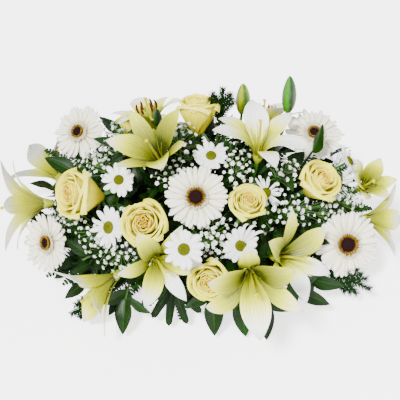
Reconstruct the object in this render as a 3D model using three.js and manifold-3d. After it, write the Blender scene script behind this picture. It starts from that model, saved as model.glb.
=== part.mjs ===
// A funeral pillow: an oval, domed spray of cut flowers that lies flat. The stems stand in wet
// floral foam, which sits in a low plastic tray. Sizes are in millimetres, +Z is up, the front is
// towards -Y, and the origin is the middle of the tray's underside.
import * as THREE from "three";
import { mergeVertices } from "three/addons/utils/BufferGeometryUtils.js";
import Module from "manifold-3d";

const wasm = await Module();
wasm.setup();

// Driving sizes
const TRAY = { length: 332, width: 138, height: 30, wall: 2.4, corner: 4, flare: 5 };
const FOAM = { length: 322, width: 128, bottom: 3, top: 92, bevel: 14 };
const FIT = 0.45; // air round a stem in its hole
const GAP = 0.4; // air kept between any two plants
const ROOTED = 24; // how far a stem stands in the foam
// The radius of a stem
const STEM = {
  gerbera: 2.5, rose: 2.7, lily: 3, daisy: 1.8, bud: 2, leaves: 1.7, fern: 1.7, fir: 2, lobed: 2, baby: 1.2,
};
// From a bloom's middle down to the start of its stem
const NECK = { gerbera: 6, rose: 28, daisy: 4, lily: 8, bud: 26 };

// The florist's plan of the blooms. The first word of a name is the kind of plant. at is the middle
// of a flat bloom, of a rose's head, or a lily's throat. face is [azimuth, elevation] in degrees:
// azimuth 0 looks to the front, 90 to the right. size is a flat bloom's radius, a rose's or bud's
// length, or a lily tepal's length. bend is how far behind the bloom its stem turns to the foam.
// A lily's turn rolls it about its throat, and open is how far its tepals lie back. curl bends each
// tepal's tip further back, and fan swings each tepal aside, in degrees.
const BLOOMS = [
  { name: "gerbera_centre", at: [2, -82, 199], face: [0, 54], size: 46 },
  { name: "gerbera_front_right", at: [221, -79, 89], face: [12, 46], size: 52 },
  { name: "gerbera_front_left", at: [-216, -76, 89], face: [-50, 34], size: 46 },
  { name: "gerbera_back_left", at: [-173, 74, 164], face: [-45, 56], size: 44 },
  { name: "gerbera_back_right", at: [178, 74, 160], face: [20, 80], size: 46 },
  { name: "gerbera_back", at: [8, 158, 88], face: [180, 30], size: 45 },
  { name: "rose_left", at: [-154, -48, 162], face: [-64, 36], size: 67 },
  { name: "rose_centre_left", at: [-65, -100, 163], face: [-18, 55], size: 60 },
  { name: "rose_centre_right", at: [74, -80, 179], face: [10, 80], size: 51 },
  { name: "rose_right", at: [175, -20, 155], face: [62, 62], size: 58 },
  { name: "rose_top", at: [4, 74, 198], face: [180, 62], size: 60 },
  { name: "rose_front", at: [23, -152, 108], face: [-12, 36], size: 56 },
  { name: "rose_back", at: [-96, 136, 104], face: [-155, 34], size: 58 },
  { name: "daisy_left", at: [-106, -44, 191], face: [-10, 62], size: 24 },
  { name: "daisy_front_left", at: [-120, -97, 151], face: [-50, 42], size: 30 },
  { name: "daisy_centre", at: [-14, -155, 177], face: [-14, 50], size: 28, bend: 12 },
  { name: "daisy_top", at: [23, -12, 206], face: [10, 80], size: 25 },
  { name: "daisy_right", at: [101, -46, 166], face: [24, 58], size: 24 },
  { name: "daisy_front_right", at: [64, -125, 146], face: [0, 48], size: 27 },
  { name: "daisy_far_right", at: [230, 38, 140], face: [95, 35], size: 25 },
  { name: "daisy_back", at: [90, 148, 92], face: [155, 36], size: 27 },
  { name: "lily_left", at: [-216, -24, 116], face: [-86, 0], size: 98, turn: -10, open: 86 },
  { name: "lily_far_left", at: [-208, 51, 86], face: [-127, 24], size: 84, turn: 68, open: 76,
    curl: [0, 75, 30, 0, 0, 0] },
  { name: "lily_top_left", at: [-46, -9, 186], face: [-70, 71], size: 90, turn: -5, open: 67,
    curl: [9, -15, 2, 4, 5, -20], fan: [7, -9, -8, 10, 6, -1] },
  { name: "lily_top_right", at: [90, 4, 184], face: [158, 77], size: 92, turn: 55, open: 94,
    curl: [-6, 11, 14, 2, -4, 31], fan: [-20, 9, 1, 17, 6, -14] },
  { name: "lily_front_left", at: [-111, -131, 86], face: [-54, -10], size: 90, turn: 29, open: 66,
    curl: [30, 0, -10, 30, -14, -6] },
  { name: "lily_front_middle", at: [-57, -120, 113], face: [20, 31], size: 78, turn: -8, open: 81,
    curl: [-14, 14, 30, 5, 2, -2] },
  { name: "lily_front", at: [75, -151, 128], face: [3, 25], size: 104, turn: 37, open: 63,
    curl: [0, 6, 0, 110, 0, 0] },
  { name: "lily_front_right", at: [114, -106, 96], face: [51, 37], size: 86, turn: 2, open: 82,
    curl: [10, 4, 3, 36, 2, 2] },
  { name: "lily_right", at: [249, 17, 102], face: [50, 63], size: 56, turn: -98, open: 54,
    curl: [4, -6, -14, -3, 11, 5], fan: [-10, -6, 6, 10, 3, -3] },
  { name: "lily_far_right", at: [250, -26, 82], face: [86, 4], size: 78, turn: 10, open: 80 },
  { name: "lily_back_left", at: [-61, 89, 151], face: [-147, 58], size: 78, turn: 139, open: 90,
    curl: [12, 30, 12, 5, 11, 60], fan: [-13, 17, 3, -13, 7, 8] },
  { name: "lily_back_right", at: [104, 113, 114], face: [170, 50], size: 82, turn: 0, open: 82 },
  { name: "bud_tall", at: [137, 90, 226], face: [180, 80], size: 66 },
  { name: "bud_yellow", at: [70, 94, 214], face: [0, 86], size: 66 },
  { name: "bud_small", at: [-54, 50, 220], face: [0, 84], size: 40 },
];

// The greens. Each has one foot in the foam and forks to its stems. A stem ends at its at, heading
// along face. size is a leaf's or a frond's length, and count is the leaves on each stem.
const GREENS = [
  { name: "leaves_front", size: 58, count: 3, stems: [
    { at: [26, -150, 54], face: [4, -38] },
    { at: [64, -152, 52], face: [14, -40] },
    { at: [98, -150, 44], face: [10, -34] },
  ] },
  { name: "leaves_front_left", size: 54, count: 3, stems: [
    { at: [-100, -146, 46], face: [-8, -28] },
    { at: [-162, -104, 84], face: [-64, -10] },
    { at: [-92, -84, 132], face: [-60, 14] },
  ] },
  { name: "leaves_front_right", size: 54, count: 3, stems: [
    { at: [168, -118, 60], face: [70, -6] },
    { at: [150, -130, 50], face: [58, -10] },
    { at: [98, -92, 134], face: [0, 44] },
  ] },
  { name: "leaves_left", size: 54, count: 3, stems: [
    { at: [-180, 24, 130], face: [-115, 18] },
    { at: [-104, -30, 158], face: [40, 10] },
    { at: [-186, 60, 132], face: [-112, 8] },
  ] },
  { name: "leaves_top_left", size: 54, count: 3, stems: [
    { at: [-112, 80, 146], face: [-139, 20] },
    { at: [-100, 24, 178], face: [-100, 30] },
    { at: [-20, 30, 196], face: [140, 30] },
  ] },
  { name: "leaves_top_right", size: 54, count: 3, stems: [
    { at: [172, 30, 170], face: [117, 66] },
    { at: [136, -8, 172], face: [80, 20] },
    { at: [206, 20, 136], face: [84, 10] },
  ] },
  { name: "leaves_back", size: 58, count: 3, stems: [
    { at: [46, 140, 56], face: [172, -34] },
    { at: [-44, 142, 54], face: [-170, -32] },
    { at: [120, 128, 62], face: [140, -24] },
  ] },
  { name: "fern_left", size: 124, stems: [
    { at: [-178, -34, 78], face: [-84, -6] },
    { at: [-172, -84, 70], face: [-58, -8] },
  ] },
  { name: "fern_back_left", size: 120, stems: [
    { at: [-178, 34, 74], face: [-100, -6] },
    { at: [-150, 88, 66], face: [-140, -12] },
  ] },
  { name: "fern_back_right", size: 120, stems: [
    { at: [178, 36, 76], face: [102, -6] },
    { at: [152, 90, 66], face: [140, -12] },
  ] },
  { name: "fern_right", size: 112, stems: [
    { at: [178, 4, 78], face: [92, -6] },
    { at: [176, -66, 72], face: [66, -8] },
  ] },
  { name: "fir_right", size: 84, stems: [{ at: [182, -92, 54], face: [60, -4] }] },
  { name: "fir_top", size: 76, stems: [{ at: [35, 72, 176], face: [158, 78] }] },
  { name: "fir_front_left", size: 66, stems: [{ at: [-124, -127, 35], face: [-58, -10] }] },
  { name: "lobed_leaf", size: 62, stems: [{ at: [-32, -134, 60], face: [-8, -46] }] },
];

// The gypsophila sprays: a stem that forks to small heads of florets
const BABY = [
  {
    name: "baby_left",
    heads: [
      { at: [-146, 8, 186], florets: 7 },
      { at: [-118, 30, 196], florets: 6 },
      { at: [-130, 90, 150], florets: 5 },
    ],
  },
  {
    name: "baby_far_left",
    heads: [{ at: [-196, -56, 132], florets: 6 }, { at: [-150, -92, 128], florets: 6 }],
  },
  {
    name: "baby_top",
    heads: [
      { at: [-24, 30, 214], florets: 7 },
      { at: [-34, -44, 206], florets: 6 },
      { at: [50, 128, 140], florets: 5 },
    ],
  },
  {
    name: "baby_front_left",
    heads: [{ at: [-112, -132, 122], florets: 7 }, { at: [-90, -90, 154], florets: 6 }],
  },
  { name: "baby_front", heads: [{ at: [22, -132, 150], florets: 7 }, { at: [30, -120, 160], florets: 5 }] },
  {
    name: "baby_centre_right",
    heads: [{ at: [60, -30, 208], florets: 6 }, { at: [128, -20, 186], florets: 6 }],
  },
  { name: "baby_right", heads: [{ at: [140, -74, 162], florets: 6 }, { at: [226, -20, 124], florets: 6 }] },
];

const TAU = 2 * Math.PI;
const GOLDEN = Math.PI * (3 - Math.sqrt(5));
const rad = THREE.MathUtils.degToRad;
const vec = (x, y, z) => new THREE.Vector3(x, y, z);
const times = (count, make) => Array.from({ length: count }, (_, i) => make(i));
const polar = (r, a, z) => vec(r * Math.cos(a), r * Math.sin(a), z);
const mix = (a, b, t) => a.clone().lerp(b, t);
const along = (p, d, t) => p.clone().addScaledVector(d, t);
const union = (solids) => solids.reduce((all, one) => all.add(one));

// A closed solid from points and triangles given as index triples
function solidOf(points, faces) {
  const geometry = new THREE.BufferGeometry();
  const flat = points.flatMap((p) => [p.x, p.y, p.z]);
  geometry.setAttribute("position", new THREE.Float32BufferAttribute(flat, 3));
  geometry.setIndex(faces.flat());
  const merged = mergeVertices(geometry, 1e-4);
  const mesh = new wasm.Mesh({
    numProp: 3,
    vertProperties: merged.attributes.position.array,
    triVerts: new Uint32Array(merged.index.array),
  });
  return new wasm.Manifold(mesh);
}

// Rings of points joined into a closed skin. Two rings may differ in their number of points, and a
// ring of one point is a pole.
function skinInto(points, faces, rings) {
  const starts = rings.map((ring) => points.push(...ring) - ring.length);
  const cap = (ring, start, flip) => {
    for (let j = 1; j + 1 < ring.length; j++) {
      faces.push(flip ? [start, start + j + 1, start + j] : [start, start + j, start + j + 1]);
    }
  };
  cap(rings[0], starts[0], true);
  for (let i = 0; i + 1 < rings.length; i++) {
    const [m, n] = [rings[i].length, rings[i + 1].length];
    const low = (k) => starts[i] + (k % m);
    const high = (k) => starts[i + 1] + (k % n);
    let [j, k] = [0, 0];
    while ((m > 1 && j < m) || (n > 1 && k < n)) {
      if (m > 1 && (n === 1 || (j + 1) / m <= (k + 1) / n + 1e-9) && j < m) {
        faces.push([low(j), low(j + 1), high(k)]);
        j++;
      } else {
        faces.push([low(j), high(k + 1), high(k)]);
        k++;
      }
    }
  }
  return { starts, cap: (flip) => cap(rings.at(-1), starts.at(-1), flip) };
}

function skin(rings) {
  const [points, faces] = [[], []];
  skinInto(points, faces, rings).cap(false);
  return solidOf(points, faces);
}

// The rings of a round bar along a line of points. A radius of 0 makes a pole.
function barRings(path, radii, sides, firstSide) {
  let side = firstSide;
  return path.map((p, i) => {
    const ahead = path[Math.min(i + 1, path.length - 1)].clone().sub(path[Math.max(i - 1, 0)]).normalize();
    if (!side) side = Math.abs(ahead.z) < 0.9 ? vec(0, 0, 1) : vec(1, 0, 0);
    side = along(side, ahead, -side.dot(ahead)).normalize();
    const other = ahead.clone().cross(side);
    const r = Array.isArray(radii) ? radii[i] : radii;
    if (r === 0) return [p];
    return times(sides, (j) => {
      const a = (TAU * j) / sides;
      return along(along(p, side, r * Math.cos(a)), other, r * Math.sin(a));
    });
  });
}

const bar = (path, radii, sides) => skin(barRings(path, radii, sides));

// A thin sheet over rows of points. Its border is sharp and shared by both faces; the points inside
// it stand half the thickness to each side. The last row may be one point, the tip.
function blade(rows, thickness) {
  const points = [];
  const sides = [[], []];
  rows.forEach((row, i) => {
    sides.forEach((side) => side.push([]));
    row.forEach((p, j) => {
      if (i === 0 || i === rows.length - 1 || j === 0 || j === row.length - 1) {
        points.push(p);
        sides.forEach((side) => side[i].push(points.length - 1));
        return;
      }
      const near = (k) => rows[k][Math.min(j, rows[k].length - 1)];
      const lengthways = near(i + 1).clone().sub(near(i - 1));
      const normal = row[j + 1].clone().sub(row[j - 1]).cross(lengthways).normalize();
      points.push(along(p, normal, thickness / 2), along(p, normal, -thickness / 2));
      sides[0][i].push(points.length - 2);
      sides[1][i].push(points.length - 1);
    });
  });
  const faces = [];
  sides.forEach((side, under) => {
    for (let i = 0; i + 1 < rows.length; i++) {
      const [m, n] = [rows[i].length, rows[i + 1].length];
      for (let j = 0; j + 1 < Math.max(m, n); j++) {
        const [a, b] = [side[i][Math.min(j, m - 1)], side[i][Math.min(j + 1, m - 1)]];
        const [d, c] = [side[i + 1][Math.min(j, n - 1)], side[i + 1][Math.min(j + 1, n - 1)]];
        // Both faces cut each quad by the diagonal that leans to the sheet's middle.
        const left = j + 1 <= (Math.max(m, n) - 1) / 2;
        const split = left ? [[a, b, c], [a, c, d]] : [[a, b, d], [b, c, d]];
        for (const [p, q, r] of split) {
          if (p !== q && q !== r && p !== r) faces.push(under ? [p, r, q] : [p, q, r]);
        }
      }
    }
  });
  return solidOf(points, faces);
}

// Blooms. Each gives the rings of its skin from the top of its stem to its tip, with its face
// towards +Z and its middle at the origin, and any parts that are joined on.

const ring = (count, radius, height, turn = 0) =>
  times(count, (i) => polar(radius, (TAU * (i + turn)) / count, height));

// The sharp edge round a whorl of blunt petals: two points on each tip and one in each notch
function petalEdge(count, { tip, notch, wide, height }) {
  const at = (r, turn) => polar(r, (TAU * turn) / count, height(r));
  return times(count, (i) => [at(tip(i), i - wide / 2), at(tip(i), i + wide / 2), at(notch, i + 0.5)]).flat();
}

function gerbera({ size: R }) {
  const dish = (r) => 0.0016 * r * r - 1;
  const outer = { tip: (i) => R * (i % 2 ? 0.94 : 1), notch: 0.52 * R, wide: 0.6, height: dish };
  const inner = times(20, (i) => polar(R * (i % 2 ? 0.4 : 0.62), (TAU * i) / 20, R * (i % 2 ? 0.12 : 0.22)));
  return {
    rings: [
      ring(6, 8, -4),
      petalEdge(20, outer),
      ring(20, 0.33 * R, 2),
      inner,
      ring(10, 0.28 * R, 0.13 * R),
      ring(10, 0.22 * R, 0.2 * R),
      [vec(0, 0, 0.15 * R)],
    ],
  };
}

function daisy({ size: R }) {
  const dish = (r) => 0.003 * r * r;
  const edge = { tip: (i) => R * (i % 3 ? 1 : 0.92), notch: 0.42 * R, wide: 0.62, height: dish };
  const eye = [ring(13, 0.27 * R, 1), ring(6, 0.22 * R, 3.6), [vec(0, 0, 4.6)]];
  return { rings: [ring(5, 5, -3), petalEdge(13, edge), ...eye] };
}

// A lily: six tepals, by turns broad and narrow, that part from one throat. Each one's midrib starts
// along the axis and leans out to its opening angle. Pistil and stamens stand in the throat.
function lily({ size: L, open, curl, fan, neck, toWorld }) {
  const walk = 24;
  const rows = 4;
  const lobes = times(6, (i) => {
    const broad = i % 2 === 0;
    const angle = rad(60 * i + (fan?.[i] ?? 0));
    const side = polar(1, angle + Math.PI / 2, 0);
    const from = rad(14);
    const to = rad(open + (broad ? -3 : 4));
    const rolled = rad(curl?.[i] ?? 0);
    let [r, z] = broad ? [4.5, 3] : [6.5, 1];
    const lobe = [];
    for (let k = 0; k <= walk; k++) {
      const s = k / walk;
      const lean = from + (to - from) * Math.pow(s, 0.8) + rolled * s * s;
      if (k % (walk / rows) === 0) {
        const swell = Math.pow(Math.sin(Math.PI * (0.03 + 0.97 * Math.pow(s, 1.3))), 0.9);
        const half = (broad ? 0.2 : 0.14) * L * swell;
        const inward = polar(-Math.cos(lean), angle, Math.sin(lean));
        const middle = polar(r, angle, z);
        const lift = (broad ? 0.44 : 0.02) * half * (1 - 0.8 * s);
        const edge = (u) => along(along(middle, side, u * half), inward, lift);
        const [top, under] = [0.8, -0.8].map((off) => along(middle, inward, off));
        lobe.push({ right: edge(-1), left: edge(1), top, under, middle });
      }
      r += (0.98 * L * Math.sin(lean)) / walk;
      z += (0.98 * L * Math.cos(lean)) / walk;
    }
    return lobe;
  });
  const points = [];
  const faces = [];
  const collar = ring(6, 6.5, -4).map(toWorld);
  const { starts } = skinInto(points, faces, [...neck, collar]);
  const add = (p) => points.push(toWorld(p)) - 1;
  const hub = add(vec(0, 0, 4));
  const notches = times(6, (i) => add(polar(8, rad(60 * i + 30), 5)));
  const low = times(6, (i) => starts.at(-1) + i);
  lobes.forEach((lobe, i) => {
    const [right, left] = [notches[(i + 5) % 6], notches[i]];
    const top = add(lobe[0].top);
    faces.push([hub, right, top], [hub, top, left], [low[i], low[(i + 1) % 6], left]);
    let last = [right, top, low[i], left];
    lobe.slice(1).forEach((row, k) => {
      const tip = k === rows - 1 && add(row.middle);
      const next = tip ? [tip, tip, tip, tip] : [row.right, row.top, row.under, row.left].map(add);
      // Each half is cut from its edge's lower point to the midrib's upper one.
      for (const [p, q] of [[0, 1], [1, 3], [2, 0], [3, 2]]) {
        const atEdge = p % 3 === 0;
        faces.push(atEdge ? [last[p], next[q], last[q]] : [last[p], next[p], last[q]]);
        if (!tip) faces.push(atEdge ? [last[p], next[p], next[q]] : [next[p], next[q], last[q]]);
      }
      last = next;
    });
  });
  const pistilTip = vec(3, -2, 0.7 * L);
  const pistil = bar([vec(0, 0, 2), vec(2, -1, 0.64 * L), pistilTip].map(toWorld), [1.2, 1.1, 2.4], 3);
  const stamens = times(6, (i) => {
    const a = rad(60 * i + 15);
    return bar([polar(4.6, a, 1), polar(0.17 * L, a, 0.52 * L)].map(toWorld), [0.9, 0], 3);
  });
  return [solidOf(points, faces), pistil, ...stamens];
}

// A rose: a heart of two lobed whorls in one skin, five outer petals that curl out, and sepals
function rose({ size: H }) {
  const R = 0.5 * H;
  const base = -NECK.rose;
  const whorl = (count, radius, up, swing) =>
    times(count, (i) => {
      const low = i % 2;
      return polar(R * radius * (low ? 1 - swing : 1), (TAU * i) / count, base + H * (low ? up - swing : up));
    });
  const petals = times(5, (k) => {
    const a = rad(72 * k + 36);
    const rows = [[0.3, 0.04, 40], [0.97, 0.46, 66], [1.12, 0.86, 46]].map(([wide, up, span]) =>
      [-0.5, 0, 0.5].map((u) => polar(R * wide, a + rad(u * span), base + H * (up - (u ? 0.04 * up : 0)))),
    );
    return blade(rows, 1.6);
  });
  const sepals = times(10, (i) => polar(R * (i % 2 ? 0.3 : 0.86), (TAU * i) / 10, base - (i % 2 ? 2 : 8)));
  return {
    rings: [
      sepals,
      ring(5, 0.4 * R, base + 1),
      ring(10, 0.74 * R, base + 0.3 * H),
      whorl(10, 0.82, 0.9, 0.1),
      ring(10, 0.6 * R, base + 0.62 * H),
      whorl(10, 0.56, 0.97, 0.08),
      ring(5, 0.34 * R, base + 0.76 * H),
      ring(5, 0.27 * R, base + H, 0.5),
      [vec(0, 0, base + 0.88 * H)],
    ],
    parts: petals,
  };
}

function bud({ size: H }) {
  const R = 0.17 * H;
  const at = (share, up) => ring(6, share * R, (up - 0.5) * H);
  return { rings: [at(0.5, 0.03), at(0.9, 0.26), at(1, 0.54), at(0.7, 0.84), [vec(0, 0, 0.5 * H)]] };
}

const MAKE = { gerbera, daisy, rose, bud };

// The unit vector of an [azimuth, elevation] pair
function heading([azimuth, elevation]) {
  const [a, e] = [rad(azimuth), rad(elevation)];
  return vec(Math.sin(a) * Math.cos(e), -Math.cos(a) * Math.cos(e), Math.sin(e));
}

// The frame of a bloom: its +Z is the way it faces and its +Y is as near to up as can be, then it is
// rolled by its turn.
function frameOf({ at, face, turn = 0 }) {
  const z = heading(face);
  const up = Math.abs(z.z) > 0.98 ? vec(0, 1, 0) : vec(0, 0, 1);
  const y = along(up, z, -up.dot(z)).normalize();
  const x = y.clone().cross(z);
  const [c, s] = [Math.cos(rad(turn)), Math.sin(rad(turn))];
  const matrix = new THREE.Matrix4();
  matrix.makeBasis(along(x.clone().multiplyScalar(c), y, s), along(y.clone().multiplyScalar(c), x, -s), z);
  return matrix.setPosition(...at);
}

// The line of a stem: out of a plant's back, round a bend, and straight into the foam
function stemLine(start, back, bend, sway = [0, 0]) {
  const corner = along(start, back, bend).add(vec(sway[0], 0, sway[1]));
  const aimX = THREE.MathUtils.clamp(0.5 * corner.x, -118, 118);
  const aim = vec(aimX, 0.1 * corner.y, 42 + 0.12 * (corner.z - 100));
  const dir = aim.sub(corner).normalize();
  const reaches = [
    [Math.abs(corner.x) - FOAM.length / 2, Math.abs(dir.x)],
    [Math.abs(corner.y) - FOAM.width / 2, Math.abs(dir.y)],
    [corner.z - FOAM.top, Math.abs(dir.z)],
  ].map(([outside, speed]) => (outside > 0 ? outside / speed : 0));
  const entry = along(corner, dir, Math.max(...reaches));
  const near = mix(corner, entry, 0.3);
  return [start, mix(mix(start, near, 0.5), corner, 0.5), near, along(entry, dir, ROOTED)];
}

// Foam and tray

const corners = (x, y, z) => [vec(-x, -y, z), vec(x, -y, z), vec(x, y, z), vec(-x, y, z)];
const block = skin([
  corners(FOAM.length / 2, FOAM.width / 2, FOAM.bottom),
  corners(FOAM.length / 2, FOAM.width / 2, FOAM.top - FOAM.bevel),
  corners(FOAM.length / 2 - FOAM.bevel, FOAM.width / 2 - FOAM.bevel, FOAM.top),
]);

function tray() {
  const tub = (x, y, z) => {
    const c = TRAY.corner;
    const half = [[-x + c, -y], [x - c, -y], [x, -y + c], [x, y - c]];
    return [...half, ...half.map(([px, py]) => [-px, -py])].map(([px, py]) => vec(px, py, z));
  };
  const [x, y] = [TRAY.length / 2, TRAY.width / 2];
  const wall = (z) => (TRAY.flare * z) / TRAY.height;
  const outside = skin([tub(x, y, 0), tub(x + TRAY.flare, y + TRAY.flare, TRAY.height)]);
  const inner = (z) => tub(x - TRAY.wall + wall(z), y - TRAY.wall + wall(z), z);
  return outside.subtract(skin([inner(TRAY.wall), inner(TRAY.height + 6)]));
}

// Nodes, in the order in which they are put in. A later plant bends its stems clear of those that
// stand already, and leaves out the leaves or florets that would touch them.
const feet = [];
const nodes = new Map();
const boxes = new Map();
function put(name, solid) {
  nodes.set(name, solid);
  boxes.set(name, solid.boundingBox());
}
function isClear(solid, rooted = false) {
  const { min, max } = solid.boundingBox();
  if (!rooted && block.minGap(solid, GAP) < GAP) return false;
  for (const [name, other] of nodes) {
    const box = boxes.get(name);
    const far = [0, 1, 2].some((k) => min[k] > box.max[k] + GAP || max[k] < box.min[k] - GAP);
    if (!far && other.minGap(solid, GAP) < GAP) return false;
  }
  return min[2] > 1;
}

put("tray", tray());

const SWAYS = [0, 9, -9, 18, -18, 27, -27].flatMap((x) => [0, 8, -8, 16, -16, 24].map((z) => [x, z]));
SWAYS.sort((a, b) => Math.hypot(...a) - Math.hypot(...b));
function swayed(lineFor, radius, rooted) {
  const clear = SWAYS.find((sway) => isClear(bar(lineFor(sway), radius, 3), rooted));
  return lineFor(clear ?? SWAYS[0]);
}

// The stems of a plant that forks: the first has the foot, and the others join it above the foam
function forked(starts, bend, radius) {
  const lines = [];
  for (const { start, back } of starts) {
    const lineFor = lines.length
      ? ([x, z]) => [start, along(start, back, bend).add(vec(x, 0, z)), lines[0][2]]
      : (sway) => stemLine(start, back, bend, sway);
    lines.push(swayed(lineFor, radius, lines.length === 0));
  }
  feet.push({ line: lines[0], radius });
  return lines;
}

const kindOf = ({ name }) => name.split("_")[0];

for (const bloom of BLOOMS) {
  const kind = kindOf(bloom);
  const face = heading(bloom.face);
  const matrix = frameOf(bloom);
  const toWorld = (p) => p.clone().applyMatrix4(matrix);
  const radius = STEM[kind];
  const start = toWorld(vec(0, 0, -NECK[kind]));
  const line = stemLine(start, face.clone().negate(), bloom.bend ?? 30);
  feet.push({ line, radius });
  const sideways = vec(1, 0, 0).transformDirection(matrix);
  // The stem's rings run from its foot up, and turn the same way round as the bloom's own.
  const upwards = barRings(line, radius, 5, sideways).reverse();
  const neck = upwards.map(([first, ...rest]) => [first, ...rest.reverse()]);
  if (kind === "lily") {
    put(bloom.name, union(lily({ ...bloom, neck, toWorld })));
    continue;
  }
  const { rings, parts = [] } = MAKE[kind](bloom);
  const body = skin([...neck, ...rings.map((points) => points.map(toWorld))]);
  put(bloom.name, union([body, ...parts.map((part) => part.transform(matrix.elements))]));
}

// Greens

// The dome's outward direction at a point, made square to a heading
function outward(p, d) {
  const n = vec(p.x / 255 ** 2, p.y / 160 ** 2, Math.max(p.z - 35, 20) / 180 ** 2).normalize();
  return along(n, d, -n.dot(d)).normalize();
}

// A pointed leaf, folded a little along its midrib and drooping to its tip
function leaf(base, d, length, width) {
  const n = outward(base, d);
  const across = n.clone().cross(d);
  const rows = [0, 0.34, 0.7, 1].map((s) => {
    const middle = along(along(base, d, length * s), n, -0.16 * length * s * s);
    const half = width * [0, 1, 0.82, 0][Math.round(s * 3)];
    if (half === 0) return [middle];
    return [-1, 0, 1].map((u) => along(along(middle, across, u * half), n, Math.abs(u) * 0.2 * half));
  });
  const [first, ...rest] = rows;
  return blade([[first[0], first[0], first[0]], ...rest], 1.6);
}

// A fern's frond: one sheet with a tooth for each pair of leaflets
function frond(base, d, length, width, pairs) {
  const n = outward(base, d);
  const across = n.clone().cross(d);
  const middle = (s) => along(along(base, d, length * s), n, -0.14 * length * s * s);
  const reach = (s) => width * Math.pow(1 - s, 0.7) * Math.min(1, 0.35 + 4 * s);
  const points = [];
  const faces = [];
  const add = (p) => points.push(p) - 1;
  const start = add(middle(0));
  const end = add(middle(1));
  const rib = times(pairs, (i) => {
    const spine = middle((i + 0.5) / pairs);
    return [1, -1].map((side) => add(along(spine, n, 0.8 * side)));
  });
  for (const side of [1, -1]) {
    let last = start;
    for (let i = 0; i < pairs; i++) {
      const s = (i + 0.5) / pairs;
      const point = add(along(middle(Math.min(s + 0.7 / pairs, 1)), across, side * reach(s)));
      const valley = along(middle((i + 1) / pairs), across, side * 0.22 * reach(s));
      const notch = i + 1 < pairs ? add(valley) : end;
      for (const under of [0, 1]) {
        const next = i + 1 < pairs ? rib[i + 1][under] : end;
        const fan = [[rib[i][under], last, point], [rib[i][under], point, notch]];
        if (next !== notch) fan.push([rib[i][under], notch, next]);
        for (const [p, q, r] of fan) faces.push((side > 0) === (under === 1) ? [p, q, r] : [p, r, q]);
      }
      last = notch;
    }
  }
  return solidOf(points, faces);
}

// A fir sprig: a twig set round with needles
function sprig(base, d, length) {
  const n = outward(base, d);
  const across = n.clone().cross(d);
  const middle = (s) => along(along(base, d, length * s), n, -0.1 * length * s * s);
  const twig = bar([0, 0.5, 1].map(middle), [1.8, 1.5, 0], 3);
  const needles = times(16, (i) => {
    const s = 0.16 + (0.8 * i) / 15;
    const spin = i * GOLDEN;
    const round = along(across.clone().multiplyScalar(Math.cos(spin)), n, Math.sin(spin));
    const lean = along(round, d, 0.8).normalize();
    return bar([middle(s), along(middle(s), lean, 13 - 4 * s)], [1, 0], 3);
  });
  return [twig, ...needles];
}

// A leaf of blunt fingers that spread from one palm
function lobed(base, d, length) {
  const n = outward(base, d);
  const across = n.clone().cross(d);
  const point = (r, a, lift) =>
    along(along(along(base, d, r * Math.cos(a)), across, r * Math.sin(a)), n, lift - 0.0016 * r * r);
  const fingers = 6;
  const fan = rad(130);
  const spread = (i) => ((i + 0.5) / fingers - 0.5) * fan;
  const points = [point(0.1 * length, 0, 1.2), point(0.1 * length, 0, -1.2), point(0, 0, 0)];
  const edge = [2];
  for (let i = 0; i < fingers; i++) {
    const long = length * (1 - 0.25 * Math.abs(spread(i) / fan) * 2);
    for (const [r, a] of [[0.4 * length, -0.175], [long, -0.06], [long, 0.06], [0.4 * length, 0.175]]) {
      edge.push(points.push(point(r, spread(i) + a, 0)) - 1);
    }
  }
  const faces = edge.flatMap((p, k) => {
    const q = edge[(k + 1) % edge.length];
    return [[0, p, q], [1, q, p]];
  });
  return solidOf(points, faces);
}

for (const green of GREENS) {
  const kind = kindOf(green);
  const radius = STEM[kind];
  const starts = green.stems.map(({ at, face }) => ({ start: vec(...at), back: heading(face).negate() }));
  const lines = forked(starts, kind === "fern" ? 8 : 24, radius);
  let plant = union(lines.map((line) => bar(line, radius, 3)));
  const grow = (part) => {
    if (isClear(part)) plant = plant.add(part);
  };
  lines.forEach((line, k) => {
    const { at, face } = green.stems[k];
    const [start, d] = [vec(...at), heading(face)];
    const inside = along(start, d, -3);
    if (kind === "fern") grow(frond(inside, d, green.size, 0.3 * green.size, 8));
    if (kind === "fir") {
      const [twig, ...needles] = sprig(inside, d, green.size);
      plant = plant.add(twig);
      needles.forEach(grow);
    }
    if (kind === "lobed") grow(lobed(inside, d, green.size));
    if (kind !== "leaves") return;
    grow(leaf(inside, d, green.size, 0.24 * green.size));
    for (let i = 1; i < green.count; i++) {
      const node = mix(line[0], line[1], (0.64 * i) / (green.count - 1));
      const out = outward(node, d).cross(d).multiplyScalar(i % 2 ? 1 : -1);
      const sideways = along(d.clone().multiplyScalar(0.6), out, 0.8).normalize();
      grow(leaf(node, sideways, 0.86 * green.size, 0.21 * green.size));
    }
  });
  put(green.name, plant);
}

// Gypsophila

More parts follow.
